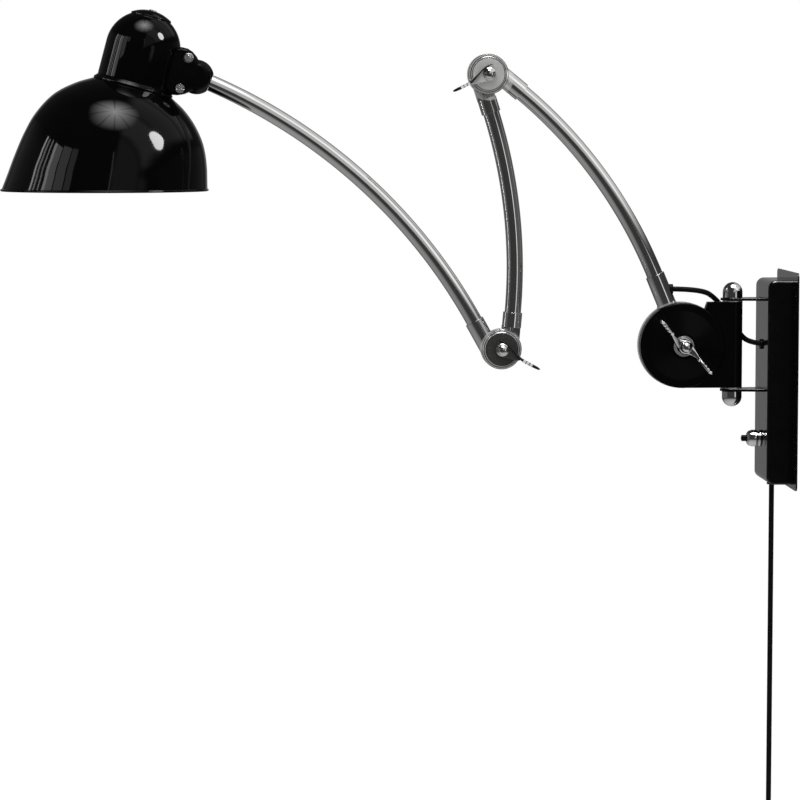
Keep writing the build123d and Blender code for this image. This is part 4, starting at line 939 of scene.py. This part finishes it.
class LAMP_OT_knuckle(bpy.types.Operator):
    """Ball, clamp shells and the two clamp screws with their nuts"""

    bl_idname = "lamp.knuckle"
    bl_label = "Knuckle"

    def execute(self, context):
        dress("knuckle_ball", "knuckle_front_shell", "knuckle_rear_shell", "saddle_screws",
              "ball_nipple", "ball_retaining_nut")
        zinc = finish("bright_zinc")
        dress("knuckle_screws", material=zinc)
        bm = bmesh.new()
        hexagon_nut(bm, across=4.9, height=3.0, hole=2.45)
        clamps = (("front", clamp_up, -1), ("rear", clamp_low, 1))
        places = [(x, side * clamp_seat, z) for _, (x, z), side in clamps]
        turns = [(-side * pi / 2, 0, 0) for _, _, side in clamps]
        fittings("knuckle_hex_nuts", bm, places, turns, zinc, "head",
                 ("knuckle_nuts",))
        values = {"Count": sizes().washer_teeth, "Ring": 0.0049, "Tooth": 0.0009, "Twist": 0.6,
                  "Finish": zinc}
        for name, (x, z), side in clamps:
            carrier = carrier_mesh(f"teeth_{name}")
            teeth = run_tree(f"lock_washer_{name}", tooth_tree, carrier, values)
            place = Matrix.Translation(Vector((x, side * (clamp_seat + 0.45), z)) * MM)
            teeth.data.transform(place @ Matrix.Rotation(-side * pi / 2, 4, "X"))
            settle(teeth, "head")
        return {"FINISHED"}


# ---------------------------------------------------------------- arms
def arm_line(a, b, bow, side, reach_a, shift_a, reach_b, shift_b, back_a, back_b, steps=96):
    """Centre line of a bowed arm as (point, direction), with straight ends."""
    da = hypot(reach_a, bow - shift_a)
    db = hypot(reach_b, bow - shift_b)
    dx = b[0] - a[0]
    dz = b[2] - a[2]
    d = hypot(dx, dz)
    m = (da * da - db * db + d * d) / (2 * d)
    h = sqrt(da * da - m * m)
    cx = a[0] + (m * dx - side * h * dz) / d
    cz = a[2] + (m * dz + side * h * dx) / d
    fa = atan2(a[2] - cz, a[0] - cx) + side * atan2(reach_a, bow - shift_a)
    fb = atan2(b[2] - cz, b[0] - cx) - side * atan2(reach_b, bow - shift_b)
    line = []
    for k in range(steps + 1):
        f = fa + (fb - fa) * k / steps
        point = Vector((cx + bow * cos(f), 0, cz + bow * sin(f)))
        line.append((point, Vector((-side * sin(f), 0, side * cos(f)))))
    first, going = line[0]
    last, leaving = line[-1]
    return [(first - going * back_a, going)] + line + [(last + leaving * back_b, leaving)]


def tube(bm, line, outer, bore, steps=64):
    """Open tube along a line, with a UV map that runs along it."""
    uv = bm.loops.layers.uv.new("along")
    aside = Vector((0, 1, 0))
    walls = []
    for radius in (outer, bore):
        rows = []
        for point, going in line:
            across = going.cross(aside)
            rows.append([bm.verts.new((point + (across * c + aside * s) * radius) * MM)
                         for c, s in circle(steps)])
        walls.append(rows)
        length = 0.0
        for i in range(len(rows) - 1):
            step = (line[i + 1][0] - line[i][0]).length * MM
            for k in range(steps):
                j = (k + 1) % steps
                face = bm.faces.new((rows[i][k], rows[i][j], rows[i + 1][j], rows[i + 1][k]))
                corners = ((length, k), (length, k + 1), (length + step, k + 1),
                           (length + step, k))
                for loop, (u, v) in zip(face.loops, corners):
                    loop[uv].uv = (u, v / steps)
            length += step
    for end in (0, -1):
        bridge(bm, walls[0][end], walls[1][end])


class LAMP_OT_arm_tubes(bpy.types.Operator):
    """Three bowed tubes of polished chrome, with the flexes in them"""

    bl_idname = "lamp.arm_tubes"
    bl_label = "Arm tubes"

    def execute(self, context):
        outer = sizes().tube_radius / MM
        bore = sizes().tube_bore / MM
        # pivots, radius and side of the bow, each end's reach and shift, and both inserts
        arms = (
            ("lower", (shoulder, elbow_up, 490.1, 1, 78.3, 2.1, elbow_reach, 8.0,
                       tube_insert, tube_insert)),
            ("middle", (elbow_up, elbow_low, 530.4, -1, elbow_reach, -8.8, elbow_reach, 8.7,
                        tube_insert, tube_insert)),
            ("upper", (elbow_low, ball_at, 569.4, 1, elbow_reach, -10.4, 16.0, 0.0,
                       tube_insert, 0.7)),
        )
        for label, shape in arms:
            bm = bmesh.new()
            tube(bm, arm_line(*shape), outer, bore)
            piece(f"{label}_chrome_tube", bm, f"arm_{label}", "chrome",
                  (f"arm_{label}_tube",), ("drawn_tube",))
            dress(f"arm_{label}_flex")
        return {"FINISHED"}


class LAMP_OT_elbows(bpy.types.Operator):
    """Elbow eyes, pressure plates, bolts and discs"""

    bl_idname = "lamp.elbows"
    bl_label = "Elbows"

    def execute(self, context):
        # radius and width of each turned groove, drawn in painted shade
        grooves = ((16.6, 0.7), (18.4, 0.6), (20.5, 0.35))
        for label, centre, satin in (("upper", elbow_up, 26.0), ("lower", elbow_low, 21.5)):
            metal = eye_metal(f"turned_{label}", centre, satin, grooves)
            dress(f"{label}_elbow_front_eye", f"{label}_elbow_rear_eye", material=metal)
            dress(f"{label}_elbow_pressure_plate")
        dress("elbow_bolts", "elbow_friction_discs", "elbow_wire_loops")
        return {"FINISHED"}


def blade(bm, origin, along, stations, section=12):
    """Thin curved blade. A station is (distance, offset, half thickness, near y, far y)."""
    across = Vector((-along[2], 0, along[0]))
    rows = through(stations, 6)
    rings = []
    for i, (a, b, half, near, far) in enumerate(rows):
        back = rows[max(i - 1, 0)]
        ahead = rows[min(i + 1, len(rows) - 1)]
        going = Vector((ahead[0] - back[0], ahead[1] - back[1])).normalized()
        normal = along * -going[1] + across * going[0]
        centre = origin + along * a + across * b
        ring = []
        for c, s in circle(section, 0.5):
            side = copysign(abs(c) ** 0.5, c) * half
            depth = copysign(abs(s) ** 0.25, s)
            y = (near + far) / 2 + depth * (far - near) / 2
            ring.append(centre + normal * side + Vector((0, y, 0)))
        rings.append(ring)
    skin(bm, rings)


def drop_outline(along, centre, large, small, reach, steps=20):
    """Outline of a drop: a large round at the bolt, a small one towards the tip."""
    across = Vector((-along[2], 0, along[0]))
    lean = asin((large - small) / reach)
    points = []
    for k in range(steps + 1):
        f = pi / 2 - lean + (pi + 2 * lean) * k / steps
        points.append(centre + along * large * cos(f) + across * large * sin(f))
    for k in range(steps // 2 + 1):
        f = -pi / 2 + lean + (pi - 2 * lean) * k / (steps // 2)
        points.append(centre + along * (reach + small * cos(f)) + across * small * sin(f))
    return points


class LAMP_OT_levers(bpy.types.Operator):
    """Clamping levers of the two elbows: hub, drop, ribbed blade and dark tip"""

    bl_idname = "lamp.levers"
    bl_label = "Levers"

    def execute(self, context):
        seat = -10.6
        half = sizes().blade / MM / 2
        near = seat - 0.6
        # both lever faces are the same satin steel: the lit tone on the upper lever, painted shade on the lower
        jobs = (("upper_elbow_lever", elbow_up, Vector((-352.7, 0, 298.5)), -1, "satin_steel"),
                ("lower_elbow_lever", elbow_low, Vector((-262.7, 0, 11.7)), 1, "dark_steel"))
        for node, centre, tip, side, face in jobs:
            along = tip - centre
            length = along.length
            along.normalize()
            bm = bmesh.new()
            lathe(bm, eased([(0, 5.0), (6.6, 5.0), (6.6, 7.2), (5.5, 7.8), (5.5, 9.2),
                             (4.9, 11.4), (3.2, 13.1), (0, 13.9)], 0.5),
                  facing(centre) @ Matrix.Translation((0, 0, -seat * MM)))
            piece(node + "_dome", bm, node, "chrome", (node,))
            rings = []
            for y, grow in ((0, -0.3), (0.3, 0.0), (5.6, -0.2), (6.1, -0.7)):
                ring = drop_outline(along, centre, 7.4 + grow, 2.6 + grow, 19.0)
                rings.append([p + Vector((0, seat - y, 0)) for p in ring])
            bm = bmesh.new()
            skin(bm, rings)
            piece(node + "_drop", bm, node, "chrome", finishes=(face,))
            # distance, offset, share of the half thickness, and both heights over the seat
            stations = (
                (-7.6, 7.2, 0.25, 3.4, 1.0), (-2.6, 8.0, 0.4, 6.4, 0.0),
                (3.4, 6.8, 0.45, 7.4, 0.0), (9.0, 4.7, 0.5, 8.6, 0.0),
                (14.5, 2.6, 0.7, 10.0, 0.0), (20.0, 0.8, 0.9, 11.0, 1.2),
                (26.0, 0.0, 1.0, 11.2, 2.2), (length - 3.0, 0.0, 0.9, 10.6, 3.0),
                (length, 0.0, 0.5, 9.0, 4.6),
            )
            bm = bmesh.new()
            blade(bm, centre, along, [(a, side * b, half * share, near - high, near - low)
                                      for a, b, share, high, low in stations])
            piece(node + "_blade", bm, node, "chrome", finishes=("lever_black",))
            middle = centre + Vector((0, near - 7.0, 0))
            rib_row(f"{node}_ribs", middle + along * (length * 0.58),
                    middle + along * (length * 0.76), 3, half + 0.15, node)
        return {"FINISHED"}


class LAMP_OT_wing_nut(bpy.types.Operator):
    """Wing nut of the shoulder, with curved ribbed wings and a domed hub"""

    bl_idname = "lamp.wing_nut"
    bl_label = "Wing nut"

    def execute(self, context):
        seat = -21.8
        half = sizes().wing / MM / 2
        along = Vector((0.747, 0, -0.665))
        across = Vector((-along[2], 0, along[0]))
        bm = bmesh.new()
        lathe(bm, eased([(0, 0), (9.0, 0), (8.8, 2.2), (7.6, 7.5), (7.0, 12.0), (5.9, 13.2),
                         (5.4, 15.5), (4.6, 18.2), (2.8, 19.7), (0, 20.2)], 0.6),
              facing(shoulder) @ Matrix.Translation((0, 0, -seat * MM)))
        # distance, offset, share of the half thickness, and both heights over the seat
        stations = (
            (0.0, 0.0, 4.6, 12.0, 0.4), (5.0, 0.6, 4.1, 12.2, 0.5), (9.5, 0.9, 2.9, 12.9, 0.8),
            (14.0, 0.7, 1.8, 14.4, 1.2), (18.5, -0.1, 1.15, 16.4, 2.2),
            (24.0, -1.6, 1.0, 19.2, 4.4), (31.0, -2.8, 1.0, 21.2, 7.8),
            (36.5, -2.8, 1.0, 20.9, 11.0), (39.0, -2.6, 0.6, 18.6, 14.0),
        )
        for sign in (1, -1):
            blade(bm, shoulder, along,
                  [(sign * a, sign * b, half * share, seat - high, seat - low)
                   for a, b, share, high, low in stations], 20)
        piece("wing_nut_body", bm, "shoulder_wing_nut", "chrome", ("shoulder_wing_nut",))
        for sign, wing in ((1, "low"), (-1, "high")):
            start = shoulder + along * sign * 20.0 + across * sign * -0.6
            end = shoulder + along * sign * 35.5 + across * sign * -2.8
            rib_row(f"wing_{wing}_ribs", start + Vector((0, seat - 12.6, 0)),
                    end + Vector((0, seat - 17.2, 0)), sizes().wing_ribs, half + 0.2,
                    "shoulder_wing_nut")
        return {"FINISHED"}


# ---------------------------------------------------------------- shoulder, swivel and box
class LAMP_OT_shoulder(bpy.types.Operator):
    """Shoulder eye with its collar, bolt, washer and friction disc"""

    bl_idname = "lamp.shoulder"
    bl_label = "Shoulder"

    def execute(self, context):
        metal = eye_metal("turned_shoulder", shoulder, 46.0, ((9.6, 0.3),))
        dress("shoulder_eye", "shoulder_washer", material=metal)
        dress("shoulder_bolt", "shoulder_friction_disc")
        return {"FINISHED"}


class LAMP_OT_swivel(bpy.types.Operator):
    """Cast swivel body on its pin, between two acorn nuts"""

    bl_idname = "lamp.swivel"
    bl_label = "Swivel"

    def execute(self, context):
        dress("swivel_casting", "swivel_washers", "swivel_pin", "swivel_acorn_nuts")
        return {"FINISHED"}


class LAMP_OT_wall_box(bpy.types.Operator):
    """Wall plate, box cover, hinge bracket and what the box holds"""

    bl_idname = "lamp.wall_box"
    bl_label = "Wall box"

    def execute(self, context):
        dress("wall_plate", "box_cover", "cover_screws", "hinge_bracket", "bracket_rivets",
              "switch_body", "terminal_block", "terminal_screws", "inner_lead", "cord_clamp",
              "cord_clamp_screws")
        return {"FINISHED"}


class LAMP_OT_push_switch(bpy.types.Operator):
    """Push switch: chrome collar and black button"""

    bl_idname = "lamp.push_switch"
    bl_label = "Push switch"

    def execute(self, context):
        front = frame_at((-28.0, 0, switch_z), (0, 1, 0), (-1, 0, 0))
        collar = [(3.6, 0), (8.9, 0), (8.9, 2.4), (7.9, 2.8), (7.9, 3.6), (8.7, 4.4), (8.8, 9.5),
                  (7.6, 13.2), (5.2, 15.1), (3.6, 15.1)]
        bm = bmesh.new()
        lathe(bm, eased(collar, 1.4, closed=True), front, closed=True)
        piece("switch_collar_ring", bm, "wall_mount", "chrome", ("switch_collar",))
        dress("switch_button")
        return {"FINISHED"}


# ---------------------------------------------------------------- studio
def between(tree, value, low, high, soft):
    """Smooth 1 between two angles in degrees, 0 outside them."""
    rise = (radians(low - soft), radians(low + soft), "SMOOTHSTEP")
    fall = (radians(high - soft), radians(high + soft), "SMOOTHSTEP")
    return sums(tree, "MULTIPLY", spread(tree, value, 1, 0, *fall),
                spread(tree, value, 0, 1, *rise))


def patch(tree, first, second, left, right, low, high, soft, level):
    """A lit panel seen in reflections, by its edges in degrees in two angles."""
    inside = sums(tree, "MULTIPLY", between(tree, first, left, right, soft),
                  between(tree, second, low, high, soft))
    return sums(tree, "MULTIPLY", inside, level)


def umbrella(tree, direction, middle, outer, level):
    """A photographer's umbrella seen in reflections: bright in the middle, with dark ribs."""
    axis = Vector(middle).normalized()
    side = axis.orthogonal().normalized()
    ahead, right, up = [add(tree, "ShaderNodeVectorMath", {0: direction, 1: vector},
                            operation="DOT_PRODUCT").outputs["Value"]
                        for vector in (axis, side, axis.cross(side))]
    away = sums(tree, "ARCCOSINE", ahead)
    glow = sums(tree, "POWER", spread(tree, away, 1.0, 0.0, 0.0, radians(outer)), 1.4)
    turn = sums(tree, "MULTIPLY", sums(tree, "ARCTAN2", up, right), 4.0)
    ribs = spread(tree, sums(tree, "ABSOLUTE", sums(tree, "SINE", turn)), 0.35, 1.0, 0.0, 0.3)
    return sums(tree, "MULTIPLY", sums(tree, "MULTIPLY", glow, ribs), level)


def aim(obj, place, towards):
    """A light at a place in metres, turned along a direction."""
    obj.location = place
    obj.rotation_euler = towards.to_track_quat("-Z", "Y").to_euler()


def card_light(name, left, right, low, high, level, receivers, shape="RECTANGLE"):
    """A lit card far from the lamp, by its edges in degrees of azimuth and elevation."""
    middle = Vector((-0.66, -0.06, 0.27))
    distance = 8.0
    power = 4  # watts to a square metre of card and a unit of level
    azimuth = radians((left + right) / 2)
    elevation = radians((low + high) / 2)
    data = bpy.data.lights.new(name, "AREA")
    data.shape = shape
    data.size = 2 * distance * tan(radians((right - left) / 2)) * cos(elevation)
    data.size_y = 2 * distance * tan(radians((high - low) / 2))
    data.energy = level * data.size * data.size_y * power
    card = in_scene(name, data)
    away = Vector((sin(azimuth) * cos(elevation), -cos(azimuth) * cos(elevation), sin(elevation)))
    aim(card, middle + away * distance, -away)
    card.visible_camera = False
    card.visible_diffuse = False
    card.light_linking.receiver_collection = receivers


def gloss_cards():
    """Softbox, window panes and overhead card that only the black gloss pieces mirror."""
    receivers = {}
    for coat in ("gloss_enamel", "box_paint"):
        receivers[coat] = bpy.data.collections.new("mirrors_" + coat)
        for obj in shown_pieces():
            if any(m and m.name.startswith(coat) for m in obj.data.materials):
                receivers[coat].objects.link(obj)
    # edges left, right, low and high in degrees, and brightness
    enamel = receivers["gloss_enamel"]
    card_light("softbox", 57.5, 77.5, 22.5, 42.5, 36.0, enamel, "ELLIPSE")
    for letter, *card in (("a", -98.5, -96, 8, 31, 9.0), ("b", -93, -90.5, 8, 31, 4.5),
                          ("c", -86, -84.5, 8, 32, 7.0), ("d", -79.5, -76, 8, 32, 8.0),
                          ("e", -76, -66, 8, 32, 3.4), ("f", -64, -52, 12, 33, 2.0),
                          ("h", -50, -42, 20, 33, 1.2), ("g", 5.0, 6.2, 14, 30, 2.0)):
        card_light("pane_" + letter, *card, enamel)
    card_light("overhead", -30, 30, 44, 88, 22.0, receivers["box_paint"])


def rays(tree):
    """Whether a ray comes from the camera, and whether by way of a mirror or glass."""
    path = add(tree, "ShaderNodeLightPath").outputs
    mirrored = sums(tree, "MAXIMUM", path["Is Glossy Ray"], path["Is Transmission Ray"])
    return path["Is Camera Ray"], mirrored


def studio_world(fill):
    """White to the camera, an even fill on surfaces, and a room with lights in mirrors."""
    world = bpy.data.worlds.new("studio")
    bpy.context.scene.world = world
    world.use_nodes = True
    tree = world.node_tree
    tree.nodes.clear()
    direction = add(tree, "ShaderNodeTexCoord").outputs["Generated"]
    x, y, z = add(tree, "ShaderNodeSeparateXYZ", {0: direction}).outputs
    # round the line of sight, and away from it: how a tube across the view mirrors the room
    roll = sums(tree, "ARCTAN2", z, x)
    away = sums(tree, "ARCCOSINE", sums(tree, "MULTIPLY", y, -1.0))
    side_on = sums(tree, "ABSOLUTE", roll)
    room = sums(tree, "MAXIMUM", spread(tree, y, 0.03, 0.30, 0.88, 0.98), 0.045)
    panels = (
        (roll, 24, 74, 4, 44, 6.0, 0.58),
        (roll, 24, 74, 44, 76, 6.0, 1.22),
        (roll, 24, 74, 76, 112, 6.0, 0.75),
        (roll, 24, 74, 112, 134, 5.0, 0.60),
        (roll, -15, 15, 27, 36, 3.0, 1.1),
        (roll, -15, 15, 36, 150, 4.0, 0.11),
        (side_on, 150, 182, 60, 150, 8.0, 0.135),
    )
    lights = [umbrella(tree, direction, (0.07, -0.27, 0.95), 27, 22.0)]
    lights += [patch(tree, turn, away, *panel) for turn, *panel in panels]
    for light in lights:
        room = sums(tree, "MAXIMUM", room, light)
    camera, mirrored = rays(tree)
    seen = add(tree, "ShaderNodeMix", {"Factor": mirrored, "A": fill, "B": room})
    shown = add(tree, "ShaderNodeMix",
                {"Factor": camera, "A": seen.outputs["Result"], "B": 1.0})
    background = add(tree, "ShaderNodeBackground",
                     {"Strength": shown.outputs["Result"], "Color": (1, 1, 1, 1)})
    add(tree, "ShaderNodeOutputWorld", {"Surface": background.outputs["Background"]})


def pale_floor():
    """White paper that keeps a shadow and shows white to the camera, and shows mirrors a painted pool of light
    below the wall mount.
    """
    material, tree, shader = new_finish("white_paper", (0.86, 0.86, 0.86), 0.9)
    relief(tree, shader, grain(tree, placed(tree), 300, 3.0), 0.05, 0.05)
    camera, mirrored = rays(tree)
    # painted pool of light on the floor, seen only in mirrors
    pool = spread(tree, far_from(tree, placed(tree)), 0.58, 0.05, 0.7, 2.3)
    glow = add(tree, "ShaderNodeEmission", {
        "Strength": sums(tree, "ADD", sums(tree, "MULTIPLY", camera, 1.14),
                         sums(tree, "MULTIPLY", mirrored, pool))})
    share = sums(tree, "MAXIMUM", sums(tree, "MULTIPLY", camera, 0.8), mirrored)
    mix = add(tree, "ShaderNodeMixShader",
              {"Fac": share, 1: shader.outputs["BSDF"], 2: glow.outputs["Emission"]})
    give(tree, tree.nodes["Material Output"], {"Surface": mix.outputs["Shader"]})
    return material


class LAMP_OT_studio(bpy.types.Operator):
    """Floor, soft light and the photograph's camera"""

    bl_idname = "lamp.studio"
    bl_label = "Studio"

    def execute(self, context):
        scene = context.scene
        studio = scene.lamp_studio
        scene.view_settings.view_transform = "Standard"
        floor_z = -0.70
        half = 2.6
        bm = bmesh.new()
        bm.faces.new([bm.verts.new((x * half, y * half, floor_z))
                      for x, y in ((-1, -1), (1, -1), (1, 1), (-1, 1))])
        mesh = bpy.data.meshes.new("paper_floor")
        bm.to_mesh(mesh)
        bm.free()
        mesh.materials.append(pale_floor())
        in_scene("paper_floor", mesh)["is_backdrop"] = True

        camera_at = (-0.59226, -3.31210, 0.25891)
        data = bpy.data.cameras.new("camera")
        data.lens = studio.lens
        data.sensor_width = 36.0
        data.clip_end = 50.0
        scene.camera = in_scene("camera", data)
        look = Vector((sin(studio.turn) * cos(studio.dip), cos(studio.turn) * cos(studio.dip),
                       -sin(studio.dip)))
        right = Vector((cos(studio.turn), -sin(studio.turn), 0))
        pose = Matrix((right, right.cross(look), -look)).transposed().to_4x4()
        pose.translation = camera_at
        scene.camera.matrix_world = pose

        key_at = Vector((-0.9, -1.1, 1.7))
        lit_spot = Vector((-0.45, 0.0, 0.1))
        lamp = bpy.data.lights.new("soft_key", "AREA")
        lamp.shape = "DISK"
        lamp.size = 1.4
        lamp.energy = studio.key
        key = in_scene("soft_key", lamp)
        aim(key, key_at, lit_spot - key_at)
        key.visible_glossy = False
        studio_world(studio.fill)
        gloss_cards()
        return {"FINISHED"}


class LAMP_PT_panel(bpy.types.Panel):
    """Lists the lamp's pieces and settings."""

    bl_idname = "LAMP_PT_panel"
    bl_label = "Wall Lamp"
    bl_space_type = "VIEW_3D"
    bl_region_type = "UI"
    bl_category = "Wall Lamp"

    def draw(self, context):
        layout = self.layout
        for group in (context.scene.lamp_sizes, context.scene.lamp_finishes,
                      context.scene.lamp_studio):
            box = layout.box()
            for name in group.__annotations__:
                box.prop(group, name)
        for operator in operators:
            layout.operator(operator.bl_idname)


operators = (
    LAMP_OT_mains_lead, LAMP_OT_jumper, LAMP_OT_shade, LAMP_OT_cap, LAMP_OT_bulb, LAMP_OT_knuckle,
    LAMP_OT_arm_tubes, LAMP_OT_elbows, LAMP_OT_levers, LAMP_OT_wing_nut, LAMP_OT_shoulder,
    LAMP_OT_swivel, LAMP_OT_wall_box, LAMP_OT_push_switch, LAMP_OT_studio,
)
groups = {"lamp_sizes": LampSizes, "lamp_finishes": LampFinishes, "lamp_studio": LampStudio}


def register():
    for cls in (*groups.values(), *operators, LAMP_PT_panel):
        bpy.utils.register_class(cls)
    for name, group in groups.items():
        setattr(bpy.types.Scene, name, PointerProperty(type=group))


def unregister():
    for name in groups:
        delattr(bpy.types.Scene, name)
    for cls in reversed((*groups.values(), *operators, LAMP_PT_panel)):
        bpy.utils.unregister_class(cls)


def main():
    register()
    for operator in operators:
        family, name = operator.bl_idname.split(".")
        getattr(getattr(bpy.ops, family), name)()
    undressed = [n for n, o in frame["nodes"].items()
                 if not o.hide_render and not any(m and m.use_nodes for m in o.data.materials)]
    if undressed:
        raise RuntimeError(f"no finish on {undressed}")


if __name__ == "__main__":
    main()
